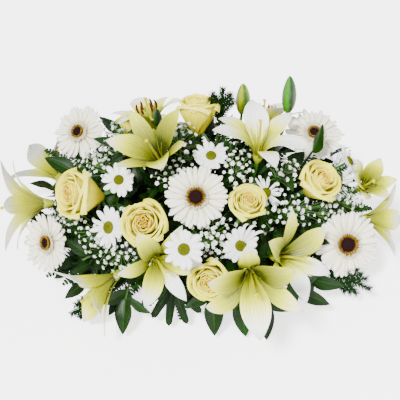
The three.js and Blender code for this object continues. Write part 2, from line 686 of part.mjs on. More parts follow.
for (const { name, heads } of BABY) {
  const starts = heads.map(({ at }) => {
    const back = outward(vec(...at), vec(0, 0, 0)).negate();
    return { start: along(vec(...at), back, 26), back };
  });
  const lines = forked(starts, 12, STEM.baby);
  let plant = union(lines.map((line) => bar(line, STEM.baby, 3)));
  heads.forEach(({ at, florets }, k) => {
    const n = outward(vec(...at), vec(0, 0, 0));
    const side = vec(0, 0, 1).cross(n).normalize();
    const other = n.clone().cross(side);
    for (let i = 0; i < florets; i++) {
      const r = 24 * Math.sqrt((i + 0.5) / florets);
      const a = i * GOLDEN + k;
      const spot = along(along(vec(...at), side, r * Math.cos(a)), other, r * Math.sin(a));
      const head = along(spot, n, 4 - 0.012 * r * r);
      const neck = mix(lines[k][0], lines[k][1], 0.08);
      const reach = head.clone().sub(neck);
      const d = reach.clone().normalize();
      const path = [neck, along(head, d, -3.4), head, along(head, d, 3.4)];
      const floret = bar(path, [0, 0.5, 3.3, 0], 4);
      if (isClear(floret)) plant = plant.add(floret);
    }
  });
  put(name, plant);
}

// The foam, drilled for each stem
put("foam", feet.reduce((rest, { line, radius }) => {
  const sides = radius > 2.1 ? 5 : 4;
  const wide = (radius + FIT) / Math.cos(Math.PI / sides);
  const [foot, dir] = [line[3], line[3].clone().sub(line[2]).normalize()];
  return rest.subtract(bar([along(foot, dir, -ROOTED - 20), along(foot, dir, 1)], wide, sides));
}, block));

const COLOURS = {
  gerbera: 0xf4f1e4, rose: 0xf2dc7c, daisy: 0xf4f4f2, lily: 0xe9ecb4, bud: 0x5f9a1c, baby: 0xf6f6f0,
  foam: 0x2f5a34, tray: 0x1c3a22, leaves: 0x1d5a1c, fern: 0x2a6a2a, fir: 0x1f4f2a, lobed: 0x1d5220,
};

const group = new THREE.Group();
group.name = "funeral_pillow";
for (const [name, solid] of nodes) {
  const { vertProperties, triVerts } = solid.getMesh();
  const geometry = new THREE.BufferGeometry();
  geometry.setAttribute("position", new THREE.BufferAttribute(Float32Array.from(vertProperties), 3));
  geometry.setIndex(new THREE.BufferAttribute(Uint32Array.from(triVerts), 1));
  geometry.computeVertexNormals();
  const color = COLOURS[kindOf({ name })];
  const material = new THREE.MeshStandardMaterial({ color, roughness: 0.6, metalness: 0 });
  const mesh = new THREE.Mesh(geometry, material);
  mesh.name = name;
  group.add(mesh);
}

export default group;
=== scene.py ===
import math

import bpy
import numpy as np
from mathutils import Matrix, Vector
from mathutils.bvhtree import BVHTree
from mathutils.kdtree import KDTree


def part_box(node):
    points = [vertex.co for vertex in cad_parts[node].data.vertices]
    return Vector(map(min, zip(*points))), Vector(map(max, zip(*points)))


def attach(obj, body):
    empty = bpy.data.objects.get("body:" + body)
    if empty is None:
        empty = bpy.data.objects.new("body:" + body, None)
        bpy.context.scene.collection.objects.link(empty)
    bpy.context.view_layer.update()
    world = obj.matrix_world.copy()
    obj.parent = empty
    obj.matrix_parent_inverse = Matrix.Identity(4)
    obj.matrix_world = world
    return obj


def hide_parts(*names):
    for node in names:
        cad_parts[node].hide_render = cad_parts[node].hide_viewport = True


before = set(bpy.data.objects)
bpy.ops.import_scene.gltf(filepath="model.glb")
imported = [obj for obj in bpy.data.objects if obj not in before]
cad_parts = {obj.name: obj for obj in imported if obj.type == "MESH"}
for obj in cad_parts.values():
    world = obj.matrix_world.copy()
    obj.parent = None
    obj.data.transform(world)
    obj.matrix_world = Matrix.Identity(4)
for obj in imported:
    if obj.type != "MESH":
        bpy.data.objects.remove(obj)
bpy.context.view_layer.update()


# The view. The arrangement lies on a pale studio floor and is seen from its front, looking down on
# it at 50 degrees, through a long lens. A bright sky, a soft sun and a lamp in front light it.
VIEW_UP = math.radians(50)
VIEW_AWAY = 1.5
VIEW_MIDDLE = Vector((0.0075, 0, 0.095))
LENS = 90
FILM_WIDTH = 36
SKY_STRENGTH = 0.85
FLOOR_HALF = 6
FLOOR_GLOW = 2.0
WHITE = (1, 1, 1, 1)


def place(name, data):
    """A new object in the scene."""
    made = bpy.data.objects.new(name, data)
    bpy.context.scene.collection.objects.link(made)
    return made


camera_data = bpy.data.cameras.new("view")
camera_data.lens = LENS
camera_data.sensor_width = FILM_WIDTH
camera = place("view", camera_data)
camera_way = Vector((0, -math.cos(VIEW_UP), math.sin(VIEW_UP)))
camera.location = VIEW_MIDDLE + camera_way * VIEW_AWAY
camera.rotation_euler = (-camera_way).to_track_quat("-Z", "Y").to_euler()
bpy.context.scene.camera = camera

sky = bpy.data.worlds.new("sky")
sky.use_nodes = True
sky.node_tree.nodes["Background"].inputs["Color"].default_value = WHITE
sky.node_tree.nodes["Background"].inputs["Strength"].default_value = SKY_STRENGTH
bpy.context.scene.world = sky


def lamp(name, kind, energy, aim, away, size):
    """A light that shines on the arrangement from the direction aim. size is a sun's angle, or how
    wide a lamp is."""
    data = bpy.data.lights.new(name, kind)
    data.energy = energy
    if kind == "SUN":
        data.angle = size
    else:
        data.size = size
    way = Vector(aim).normalized()
    made = place(name, data)
    made.location = VIEW_MIDDLE + way * away
    made.rotation_euler = way.to_track_quat("Z", "Y").to_euler()


lamp("sun", "SUN", energy=8.8, aim=(-0.35, -0.45, 1.0), away=1.0, size=0.2)
lamp("front_fill", "AREA", energy=14, aim=(0.5, -1.0, 0.7), away=1.4, size=0.9)

floor_mesh = bpy.data.meshes.new("floor")
floor_corners = [(x * FLOOR_HALF, y * FLOOR_HALF, 0) for x, y in ((-1, -1), (1, -1), (1, 1), (-1, 1))]
floor_mesh.from_pydata(floor_corners, [], [(0, 1, 2, 3)])
place("floor", floor_mesh)


def colour(code):
    """The linear colour of a hex code such as f5eb9a."""
    parts = [int(code[i : i + 2], 16) / 255 for i in (0, 2, 4)]
    return (*(p / 12.92 if p <= 0.04045 else ((p + 0.055) / 1.055) ** 2.4 for p in parts), 1)


class Nodes:
    """A tree of shader nodes. Each call adds a node and gives its output."""

    def __init__(self, tree):
        self.tree = tree

    def feed(self, socket, value):
        """Links the output of a node to a socket, or sets a plain value there."""
        if isinstance(value, bpy.types.NodeSocket):
            self.tree.links.new(value, socket)
        else:
            socket.default_value = value

    def feed_all(self, sockets, **values):
        """Feeds sockets by their names."""
        for key, value in values.items():
            self.feed(sockets[key.replace("_", " ")], value)

    def add(self, kind, output=0, settings=None, **values):
        """Any node, with its settings and its inputs by name."""
        made = self.tree.nodes.new("ShaderNode" + kind)
        for key, value in (settings or {}).items():
            setattr(made, key, value)
        self.feed_all(made.inputs, **values)
        return made.outputs[output]

    def calc(self, operation, *values):
        """A Math node."""
        made = self.tree.nodes.new("ShaderNodeMath")
        made.operation = operation
        for socket, value in zip(made.inputs, values):
            self.feed(socket, value)
        return made.outputs[0]

    def ramp(self, factor, *stops):
        """A colour ramp with (place, hex code) stops."""
        made = self.tree.nodes.new("ShaderNodeValToRGB")
        self.feed(made.inputs[0], factor)
        elements = made.color_ramp.elements
        while len(elements) < len(stops):
            elements.new(1.0)
        for element, (where, code) in zip(elements, stops):
            element.position = where
            element.color = colour(code)
        return made.outputs[0]

    def blend(self, factor, first, second, how="MIX"):
        """A Mix node between two colours, which are its inputs 6 and 7 and its output 2."""
        made = self.tree.nodes.new("ShaderNodeMix")
        made.data_type = "RGBA"
        made.blend_type = how
        for index, value in ((0, factor), (6, first), (7, second)):
            self.feed(made.inputs[index], value)
        return made.outputs[2]

    def use(self, group, **values):
        """A shared effect, with its values in this material."""
        return self.add("Group", 0, {"node_tree": group}, **values)

    def grown(self, label):
        """A value that the mesh keeps at each point: its tone or its luck."""
        return self.add("Attribute", "Fac", {"attribute_name": label})

    def spot(self):
        """Where a point lies on its own petal or leaf: across it, and along it."""
        made = self.tree.nodes.new("ShaderNodeSeparateXYZ")
        self.feed(made.inputs[0], self.add("UVMap", 0, {"uv_map": "spot"}))
        return made.outputs[0], made.outputs[1]


class Finish(Nodes):
    """The nodes of a new material, round its Principled shader."""

    def __init__(self, name):
        self.material = bpy.data.materials.new(name)
        self.material.use_nodes = True
        super().__init__(self.material.node_tree)
        self.shader = self.tree.nodes["Principled BSDF"]

    def wear(self, **values):
        """Feeds the shader's inputs by their names."""
        self.feed_all(self.shader.inputs, **values)

    def relief(self, height, distance, strength=1.0):
        """Bumps from a height, which rises by distance metres."""
        self.wear(Normal=self.add("Bump", Height=height, Distance=distance, Strength=strength))


def effect(name, output, **inputs):
    """The nodes of an empty shared effect, its inputs by name, and the socket of its output."""
    tree = bpy.data.node_groups.new(name, "ShaderNodeTree")
    for label, value in inputs.items():
        made = tree.interface.new_socket(label, in_out="INPUT", socket_type="NodeSocketFloat")
        made.default_value = value
    tree.interface.new_socket(output, in_out="OUTPUT", socket_type="NodeSocketFloat")
    given = tree.nodes.new("NodeGroupInput").outputs
    return Nodes(tree), given, tree.nodes.new("NodeGroupOutput").inputs[output]


def mottle_effect():
    """Soft uneven patches all over a surface: Size is patches a metre, Amount their strength."""
    nodes, given, patches = effect("mottle", "Patches", Size=60.0, Amount=1.0)
    where = nodes.add("TexCoord", "Object")
    noise = nodes.add("TexNoise", Vector=where, Scale=given["Size"], Detail=3.0)
    centred = nodes.calc("SUBTRACT", noise, 0.5)
    nodes.feed(patches, nodes.calc("MULTIPLY_ADD", centred, given["Amount"], 0.5))
    return nodes.tree


mottle = mottle_effect()


def floor_finish():
    """Matt white paint, which glows for the camera alone so that the floor looks as bright as a
    lit studio sweep."""
    finish = Finish("studio_floor")
    patches = finish.use(mottle, Size=2.0, Amount=0.1)
    seen = finish.add("LightPath", "Is Camera Ray")
    finish.wear(
        Base_Color=finish.ramp(patches, (0.0, "f4f4f4"), (1.0, "fbfbfb")),
        Roughness=0.9,
        Emission_Color=WHITE,
        Emission_Strength=finish.calc("MULTIPLY", seen, FLOOR_GLOW),
    )
    return finish.material


floor_mesh.materials.append(floor_finish())


# The tray: a low tub, vacuum-formed from dark green plastic sheet, that holds the wet foam. Its wall
# leans out to a small rolled lip.
MM = 0.001
TRAY_WALL = 2.4
TRAY_FLARE = 5
TRAY_CORNER = 6
LIP = 1.2
SHARP = math.radians(55)


class Sheaf:
    """The faces of one piece, gathered in millimetres. Each point also keeps its spot on its own
    petal or leaf (across, along), a tone that the plant gives it, and its petal's luck. turn and at
    say how what is added is placed, and kind is the number of its finish."""

    def __init__(self, turn=np.eye(3), at=np.zeros(3)):
        self.points = []
        self.spots = []
        self.tones = []
        self.lucks = []
        self.faces = {4: [], 3: []}
        self.kinds = {4: [], 3: []}
        self.count = 0
        self.turn = turn
        self.at = at

    def add(self, points, faces, spots, tone, kind, luck):
        """Adds points, and their faces by how many corners they have."""
        points = points.reshape(-1, 3)
        self.points.append(points @ self.turn.T + self.at)
        self.spots.append(spots.reshape(-1, 2))
        self.tones.append(np.broadcast_to(tone, len(points)))
        self.lucks.append(np.full(len(points), luck))
        for size, some in faces.items():
            if len(some):
                self.faces[size].append(np.asarray(some) + self.count)
                self.kinds[size].append(np.full(len(some), kind))
        self.count += len(points)

    def skin(self, rings, kind=0, tone=0.5, luck=0.5):
        """A closed skin over rings of equally many points, with both ends capped."""
        n, m = rings.shape[:2]
        points = np.concatenate([rings.reshape(-1, 3), [rings[0].mean(0), rings[-1].mean(0)]])
        around, up = np.meshgrid(np.linspace(0, 1, m, endpoint=False), np.linspace(0, 1, n))
        spots = np.concatenate([np.stack([around, up], -1).reshape(-1, 2), [[0.5, 0], [0.5, 1]]])
        index = np.arange(n * m).reshape(n, m)
        after = np.roll(index, -1, 1)
        quads = np.stack([index[:-1], after[:-1], after[1:], index[1:]], -1).reshape(-1, 4)
        foot = np.stack([np.full(m, n * m), after[0], index[0]], -1)
        head = np.stack([np.full(m, n * m + 1), index[-1], after[-1]], -1)
        self.add(points, {4: quads, 3: np.concatenate([foot, head])}, spots, tone, kind, luck)

    def rod(self, path, radius, sides=6, kind=0, tone=0.5, luck=0.5):
        """A round rod along a line of points, with one radius or one for each point."""
        path = np.asarray(path, float)
        radii = np.broadcast_to(radius, len(path))
        self.skin(rings_along(path, radii, sides), kind, tone, luck)

    def turned(self, profile, sides, kind=0, tone=0.5):
        """A turned body: a rod straight up, with a radius at each height."""
        self.rod([(0, 0, z) for _, z in profile], [r for r, _ in profile], sides, kind, tone)

    def blade(self, grid, thick=0.5, kind=0, tone=0.5, luck=0.5, s=None):
        """A thin closed sheet over a grid of points, rows first. Its border is sharp, and its first
        or last row may be one point. s is the place of each row along the blade."""
        n, m = grid.shape[:2]
        normal = np.cross(np.gradient(grid, axis=1), np.gradient(grid, axis=0))
        normal /= np.linalg.norm(normal, axis=2, keepdims=True) + 1e-9
        lift = np.zeros((n, m, 1))
        lift[1:-1, 1:-1] = thick / 2
        top = np.arange(n * m).reshape(n, m)
        under = top.copy()
        under[1:-1, 1:-1] = n * m + np.arange((n - 2) * (m - 2)).reshape(n - 2, m - 2)
        for row in (0, -1):
            if np.ptp(grid[row], axis=0).max() < 1e-6:
                top[row] = under[row] = top[row, 0]
        corners = []
        for side, order in ((top, (0, 1, 2, 3)), (under, (0, 3, 2, 1))):
            four = (side[:-1, :-1], side[:-1, 1:], side[1:, 1:], side[1:, :-1])
            corners.append(np.stack([four[k] for k in order], -1).reshape(-1, 4))
        quads = np.concatenate(corners)
        same = quads == np.roll(quads, -1, 1)
        triangles = [np.delete(q, k) for k in range(4) for q in quads[same[:, k]]]
        along = np.linspace(0, 1, n) if s is None else s
        spots = np.stack(np.broadcast_arrays(np.linspace(0, 1, m), along[:, None]), -1)
        spots = np.concatenate([spots.reshape(-1, 2), spots[1:-1, 1:-1].reshape(-1, 2)])
        lower = (grid - normal * lift)[1:-1, 1:-1]
        points = np.concatenate([(grid + normal * lift).reshape(-1, 3), lower.reshape(-1, 3)])
        self.add(points, {4: quads[~same.any(1)], 3: triangles}, spots, tone, kind, luck)

    def copy_in(self, shape, turn, at, luck):
        """One more copy of a shape, at its own place and turn."""
        self.points.append(np.concatenate(shape.points) @ turn.T + at)
        self.spots.append(np.concatenate(shape.spots))
        self.tones.append(np.concatenate(shape.tones))
        self.lucks.append((np.concatenate(shape.lucks) + luck) % 1)
        for size, some in shape.faces.items():
            self.faces[size].append(np.concatenate(some) + self.count)
            self.kinds[size].append(np.concatenate(shape.kinds[size]))
        self.count += shape.count

    def make(self, name, finishes, slot, *nodes):
        """The piece itself, riding on the body and standing for its CAD nodes."""
        faces = [np.concatenate(some) for some in self.faces.values() if some]
        kinds = np.concatenate([kind for some in self.kinds.values() for kind in some])
        sizes = np.concatenate([np.full(len(some), some.shape[1]) for some in faces])
        used, corners = np.unique(np.concatenate([f.ravel() for f in faces]), return_inverse=True)
        mesh = bpy.data.meshes.new(name)
        mesh.vertices.add(len(used))
        mesh.vertices.foreach_set("co", (np.concatenate(self.points)[used] * MM).ravel())
        mesh.loops.add(len(corners))
        mesh.loops.foreach_set("vertex_index", corners.ravel())
        mesh.polygons.add(len(sizes))
        mesh.polygons.foreach_set("loop_start", np.cumsum(sizes) - sizes)
        mesh.polygons.foreach_set("material_index", kinds)
        mesh.update(calc_edges=True)
        mesh.validate()
        spots = np.concatenate(self.spots)[used][corners.ravel()]
        mesh.uv_layers.new(name="spot").data.foreach_set("uv", spots.ravel())
        for label, values in (("tone", self.tones), ("luck", self.lucks)):
            made = mesh.attributes.new(label, "FLOAT", "POINT")
            made.data.foreach_set("value", np.concatenate(values)[used].astype(np.float32))
        mesh.shade_smooth()
        mesh.set_sharp_from_angle(angle=SHARP)
        for finish in finishes:
            mesh.materials.append(finish)
        piece = place(name, mesh)
        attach(piece, "root")
        if nodes:
            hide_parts(*nodes)


def unit(v):
    """The direction of a vector, or of each of several."""
    return v / (np.linalg.norm(v, axis=-1, keepdims=True) + 1e-12)


def rings_along(path, radii, sides):
    """The rings of a round bar along a line of points, each turned as little as can be."""
    rings = []
    side = None
    for i, p in enumerate(path):
        ahead = unit(path[min(i + 1, len(path) - 1)] - path[max(i - 1, 0)])
        if side is None:
            side = np.array([0, 0, 1.0]) if abs(ahead[2]) < 0.9 else np.array([1.0, 0, 0])
        side = unit(side - ahead * side.dot(ahead))
        other = np.cross(ahead, side)
        a = np.arange(sides)[:, None] * 2 * math.pi / sides
        rings.append(p + radii[i] * (np.cos(a) * side + np.sin(a) * other))
    return np.array(rings)


def plastic_finish():
    """Dark green sheet plastic, a little cloudy, with a fine grain."""
    finish = Finish("tray_plastic")
    patches = finish.use(mottle, Size=35.0, Amount=0.8)
    finish.wear(
        Base_Color=finish.ramp(patches, (0.2, "14301a"), (0.8, "1f4426")),
        Roughness=finish.calc("MULTIPLY_ADD", patches, 0.25, 0.3),
    )
    finish.relief(finish.use(mottle, Size=900.0, Amount=1.0), 0.0002, 0.4)
    return finish.material


def make_tray():
    """The tub in one skin: up its outer face, round its lip, and down its inner face."""
    low, high = (np.array(corner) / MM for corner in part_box("tray"))
    half = high[:2] - TRAY_FLARE
    top = high[2]

    def ring(out, z):
        """A rounded rectangle, out from the tray's foot outline, at a height."""
        points = []
        for quarter, sign in enumerate(((1, 1), (-1, 1), (-1, -1), (1, -1))):
            middle = (half + out - TRAY_CORNER) * sign
            for a in np.radians(90 * quarter + np.linspace(0, 90, 7)):
                points.append((*(middle + TRAY_CORNER * np.array([math.cos(a), math.sin(a)])), z))
        return points

    def wall(out, *heights):
        """The wall at some heights, out from its leaning outer face."""
        return [(TRAY_FLARE * (z - low[2]) / (top - low[2]) + out, z) for z in heights]

    profile = [(-2, 0), (-0.6, 0.3), *wall(0, 1.5, 8, 16, 24, top - 4)]
    profile += [(TRAY_FLARE - LIP + 0.4, top - 3), *((TRAY_FLARE, z) for z in (top - 1.5, top - 0.4))]
    profile += [(TRAY_FLARE - 0.6, top), (TRAY_FLARE - TRAY_WALL + 0.4, top)]
    profile += [*wall(-TRAY_WALL, top - 1, 20, 10, TRAY_WALL + 2), (-TRAY_WALL - 2, TRAY_WALL)]
    sheaf = Sheaf()
    sheaf.skin(np.array([ring(out, z) for out, z in profile]))
    sheaf.make("tray_tub", [plastic_finish()], "tray_plastic", "tray")


make_tray()


# The wet foam: a block of crumbly phenolic foam, soaked and pressed into the tray, that every stem is
# pushed into. The CAD block keeps its drilled holes and gets the foam's open pores.
def foam_finish():
    """Soaked green foam, patchy, with its cell walls standing up between pores that are darkened
    with painted shade.
    """
    finish = Finish("wet_foam")
    pores = finish.add("TexVoronoi", "Distance", Vector=finish.add("TexCoord", "Object"), Scale=420.0)
    patches = finish.use(mottle, Size=45.0, Amount=1.0)
    base = finish.ramp(patches, (0.2, "123420"), (0.8, "25502c"))
    finish.wear(
        # Painted shade: the pits between the cell walls get the dark colour 0a2010.
        Base_Color=finish.blend(finish.calc("LESS_THAN", pores, 0.18), base, colour("0a2010")),
        Roughness=finish.calc("MULTIPLY_ADD", patches, 0.3, 0.6),
    )
    finish.relief(pores, 0.0012, 0.7)
    return finish.material


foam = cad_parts["foam"]
foam.data.materials.clear()
foam.data.materials.append(foam_finish())
foam_high = np.array(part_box("foam")[1]) / MM


# The lilies: six waxy tepals, by turns broad and narrow, that part from one yellow-green throat and
# roll back at their tips, round a pistil and six filaments. Each stands on its own stem in the foam.

# at is the throat in millimetres, face is [azimuth, elevation] with azimuth 0 to the front, size a
# tepal's length, turn the roll about the throat, open how far the tepals lie back, curl how much
# further each one rolls, fan how far it stands aside, wide how broad it is, and yellow how far the
# throat's colour runs out along it.
LILIES = {
    "lily_left": dict(at=(-216, -24, 116), face=(-86, 0), size=98, turn=-10, open=86, yellow=0.2),
    "lily_far_left": dict(
        at=(-208, 51, 86), face=(-127, 24), size=84, turn=68, open=76,
        curl=(0, 75, 30, 0, 0, 0), yellow=0.0,
    ),
    "lily_top_left": dict(
        at=(-46, -9, 186), face=(-70, 71), size=90, turn=-5, open=67,
        curl=(9, -15, 2, 4, 5, -20), fan=(7, -9, -8, 10, 6, -1),
        yellow=(0.9, 1.1, 1.3, 1.1, 0.7, 0.8),
    ),
    "lily_top_right": dict(
        at=(90, 4, 184), face=(158, 77), size=92, turn=55, open=94,
        curl=(-6, 11, 14, 2, -4, 31), fan=(-20, 9, 1, 17, 6, -14),
        yellow=(0.1, 0.2, -0.3, 0.3, -0.2, 0.5),
    ),
    "lily_front_left": dict(
        at=(-111, -131, 86), face=(-54, -10), size=90, turn=29, open=66,
        curl=(30, 0, -10, 30, -14, -6), yellow=(0.6, 0.4, -0.2, 0.3, 0.9, 0.5),
    ),
    "lily_front_middle": dict(
        at=(-57, -120, 113), face=(20, 31), size=78, turn=-8, open=81,
        curl=(-14, 14, 30, 5, 2, -2), yellow=(0.5, 0.6, 0.9, 0.8, 0.4, -0.1),
    ),
    "lily_front": dict(
        at=(75, -151, 128), face=(3, 25), size=104, turn=37, open=63,
        curl=(0, 6, 0, 110, 0, 0), yellow=(1.1, 0.75, 0.9, 0.7, 0.2, 0.6),
    ),
    "lily_front_right": dict(
        at=(114, -106, 96), face=(51, 37), size=86, turn=2, open=82,
        curl=(10, 4, 3, 36, 2, 2), yellow=(0.9, 0.9, 1.0, 0.5, 0.0, 0.1),
    ),
    "lily_right": dict(
        at=(249, 17, 102), face=(50, 63), size=56, turn=-98, open=54,
        curl=(4, -6, -14, -3, 11, 5), fan=(-10, -6, 6, 10, 3, -3), yellow=0.8, wide=1.35,
    ),
    "lily_far_right": dict(at=(250, -26, 82), face=(86, 4), size=78, turn=10, open=80, yellow=0.3),
    "lily_back_left": dict(
        at=(-61, 89, 151), face=(-147, 58), size=78, turn=139, open=90,
        curl=(12, 30, 12, 5, 11, 60), fan=(-13, 17, 3, -13, 7, 8), yellow=0.4,
    ),
    "lily_back_right": dict(at=(104, 113, 114), face=(170, 50), size=82, open=82, yellow=0.3),
}
# Each sort of tepal: its half width and its hollow as shares, the radius and the height in millimetres
# at which it starts, and by how many degrees more than the others it opens.
TEPALS = (
    dict(half=0.2, hollow=0.44, radius=4.5, height=3, more=-3),
    dict(half=0.14, hollow=0.02, radius=6.5, height=1, more=4),
)
TEPAL_ROWS = 24
TEPAL_COLUMNS = 13
TEPAL_LEAN = math.radians(14)
LILY_CUP = [(3.2, -8), (5.6, -4), (7, 0), (8, 4), (7.2, 6)]
LILY_NECK = 8
LILY_STEM = 3
LILY_LUCK = 100
ROOTED = 24
AIM_REACH = 118
AIM_HEIGHT = 42
STEM_BEND = 30
STEM_SIDES = 9
# The number of each finish in a plant. Its petals or leaves are 0.
STEM, PISTIL, ANTHER = 1, 2, 3


def heading(azimuth, elevation):
    """The direction of an azimuth, 0 to the front and 90 to the right, and an elevation."""
    a, e = math.radians(azimuth), math.radians(elevation)
    return np.array([math.sin(a) * math.cos(e), -math.cos(a) * math.cos(e), math.sin(e)])


def planted(plans, luck=0):
    """Each bloom of a kind: its name and plan, a sheaf that faces its way, and its own luck. The
    sheaf's +Z faces out, and its +Y is as near to up as can be before it is turned."""
    for number, (name, plan) in enumerate(plans.items()):
        z = heading(*plan["face"])
        up = np.array([0, 1.0, 0]) if abs(z[2]) > 0.98 else np.array([0, 0, 1.0])
        y = unit(up - z * z.dot(up))
        x = np.cross(y, z)
        roll = math.radians(plan.get("turn", 0))
        c, s = math.cos(roll), math.sin(roll)
        turn = np.stack([x * c + y * s, y * c - x * s, z], 1)
        yield name, plan, Sheaf(turn, np.array(plan["at"], float)), np.random.default_rng(luck + number)


def stem_line(start, back, bend, sway=(0, 0)):
    """A stem's line: out of a plant's back, round a bend, and straight into the foam."""
    corner = start + back * bend + np.array([sway[0], 0, sway[1]])
    aim_x = min(max(0.5 * corner[0], -AIM_REACH), AIM_REACH)
    aim = np.array([aim_x, 0.1 * corner[1], AIM_HEIGHT + 0.12 * (corner[2] - 100)])
    way = unit(aim - corner)
    outside = np.abs(corner) - np.array([foam_high[0], foam_high[1], 0])
    outside[2] = corner[2] - foam_high[2]
    reach = max(out / abs(w) if out > 0 else 0 for out, w in zip(outside, way))
    entry = corner + way * reach
    near = corner + (entry - corner) * 0.3
    return np.array([start, ((start + near) / 2 + corner) / 2, near, entry + way * ROOTED])


def rounded(path, rounds=3):
    """A line of points with its corners cut off again and again, which keeps its ends."""
    path = np.asarray(path, float)
    for _ in range(rounds):
        a, b = path[:-1], path[1:]
        cut = np.stack([a * 0.75 + b * 0.25, a * 0.25 + b * 0.75], 1).reshape(-1, 3)
        path = np.concatenate([path[:1], cut[1:-1], path[-1:]])
    return path


def length_ribs_effect():
    """Fine ribs that run along a petal or leaf: Count is how many lie across it."""
    nodes, given, ribs = effect("length_ribs", "Ribs", Count=9.0)
    noise = nodes.add("TexNoise", Vector=nodes.add("UVMap", 0, {"uv_map": "spot"}), Scale=4.0, Detail=2.0)
    across = nodes.calc("MULTIPLY", nodes.spot()[0], given["Count"])
    waved = nodes.calc("ADD", across, nodes.calc("MULTIPLY", noise, 1.2))
    wave = nodes.calc("SINE", nodes.calc("MULTIPLY", waved, 2 * math.pi))
    nodes.feed(ribs, nodes.calc("MULTIPLY_ADD", wave, 0.5, 0.5))
    return nodes.tree


length_ribs = length_ribs_effect()


def petal_finish(
    name, stops, rib_count, rib_depth, roughness, soft=0.25, tone_stops=None, shift=0.0, edge_shade=0.0
):
    """Waxy petal skin: a colour from its base to its tip, faint lengthwise ribs that are bumped and
    striped with painted shade, and light that goes through it. tone_stops tint it by the petal's place
    in the bloom, shift is how far the tone carries the base's colour towards the tip, and edge_shade
    how strongly painted shade darkens its edges, so that the petals read as apart."""
    finish = Finish(name)
    across, along = finish.spot()
    patches = finish.use(mottle, Size=140.0, Amount=0.35)
    tone = finish.grown("tone")
    drift = finish.calc("ADD", patches, finish.grown("luck"))
    drift = finish.calc("MULTIPLY_ADD", drift, 0.12, -0.12)
    carried = finish.calc("MULTIPLY_ADD", finish.calc("SUBTRACT", 0.5, tone), shift, along)
    shown = finish.ramp(finish.calc("ADD", carried, drift), *stops)
    if tone_stops:
        tint = finish.ramp(finish.calc("ADD", tone, drift), *tone_stops)
        shown = finish.blend(1.0, shown, tint, "MULTIPLY")
    ribs = finish.use(length_ribs, Count=rib_count)
    # Painted shade: the ribs also darken the colour in stripes, a shading that goes with their bumps.
    shown = finish.blend(finish.calc("MULTIPLY", ribs, 0.18), shown, colour("c9c9a0"), "MULTIPLY")
    # Painted shade: edge_shade darkens each petal towards its edges, a shadow painted between neighbouring
    # petals.
    if edge_shade:
        aside = finish.calc("ABSOLUTE", finish.calc("MULTIPLY_ADD", across, 2.0, -1.0))
        edge = finish.calc("MULTIPLY", finish.calc("POWER", aside, 5.0), edge_shade)
        shown = finish.blend(edge, shown, colour("a8a078"), "MULTIPLY")
    finish.wear(
        Base_Color=shown,
        Roughness=finish.calc("MULTIPLY_ADD", patches, 0.2, roughness),
        Subsurface_Weight=soft,
        Subsurface_Radius=(1.0, 1.0, 0.6),
        Subsurface_Scale=0.004,
    )
    finish.relief(ribs, rib_depth)
    return finish.material


def green_finish(name, dark, light):
    """The skin of a stem, sepal or pistil: a green that varies in patches along and round it, and with
    each part's tone; on a bloom's stem the tone is painted light and shade, light at its neck and
    darker down towards the foam.
    """
    finish = Finish(name)
    patches = finish.use(mottle, Size=180.0, Amount=1.0)
    # Painted light and shade: the part's tone lightens or darkens its green.
    tone_and_painted_light = finish.calc("SUBTRACT", finish.grown("tone"), 0.25)
    where = finish.calc("MULTIPLY_ADD", patches, 0.5, tone_and_painted_light)
    finish.wear(
        Base_Color=finish.ramp(where, (0.1, dark), (0.9, light)),
        Roughness=finish.calc("MULTIPLY_ADD", patches, 0.2, 0.35),
    )
    finish.relief(finish.use(length_ribs, Count=7.0), 0.0003)
    return finish.material


def pollen_finish(name, dark, light, grains):
    """Mealy pollen or packed tiny florets, with so many grains a metre."""
    finish = Finish(name)
    grain = finish.add("TexVoronoi", "Distance", Vector=finish.add("TexCoord", "Object"), Scale=grains)
    luck = finish.calc("MULTIPLY", finish.grown("luck"), 0.6)
    mixed = finish.calc("MULTIPLY_ADD", grain, 0.8, luck)
    finish.wear(
        Base_Color=finish.ramp(mixed, (0.1, dark), (0.9, light)),
        Roughness=finish.calc("MULTIPLY_ADD", grain, 0.3, 0.6),
        Specular_IOR_Level=0.12,
    )
    finish.relief(grain, 0.0006)
    return finish.material


stem_green = green_finish("stem_green", "0c2c08", "2c5c10")
lily_tepal = petal_finish(
    "lily_tepal",
    [(0.02, "303800"), (0.1, "5c6400"), (0.26, "808400"), (0.42, "a0a400")]
    + [(0.54, "c8cc00"), (0.68, "e8ea78"), (0.9, "fbfcf8")],
    rib_count=9.0, rib_depth=0.0004, roughness=0.3, shift=0.45,
)
lily_pistil = green_finish("lily_pistil", "8c9400", "d8cc00")
WITH_ANTHERS = {
    "lily_back_left": pollen_finish("lily_anther", "1c0804", "54200c", 900.0),
    "lily_back_right": pollen_finish("rusty_anther", "4c1004", "a03c10", 900.0),
}


def petal_grid(angle, u, r, z, half, lift):
    """The points of a petal that grows out at an angle: r and z are its midline's radius and height
    in rows, half its half width, and lift how far each point rises square to the midline."""
    dr, dz = np.gradient(r), np.gradient(z)
    size = np.hypot(dr, dz) + 1e-9
    out = r[:, None] - (dz / size)[:, None] * lift
    up = z[:, None] + (dr / size)[:, None] * lift
    side = half[:, None] * u
    c, d = math.cos(angle), math.sin(angle)
    return np.stack([out * c - side * d, out * d + side * c, up], -1)


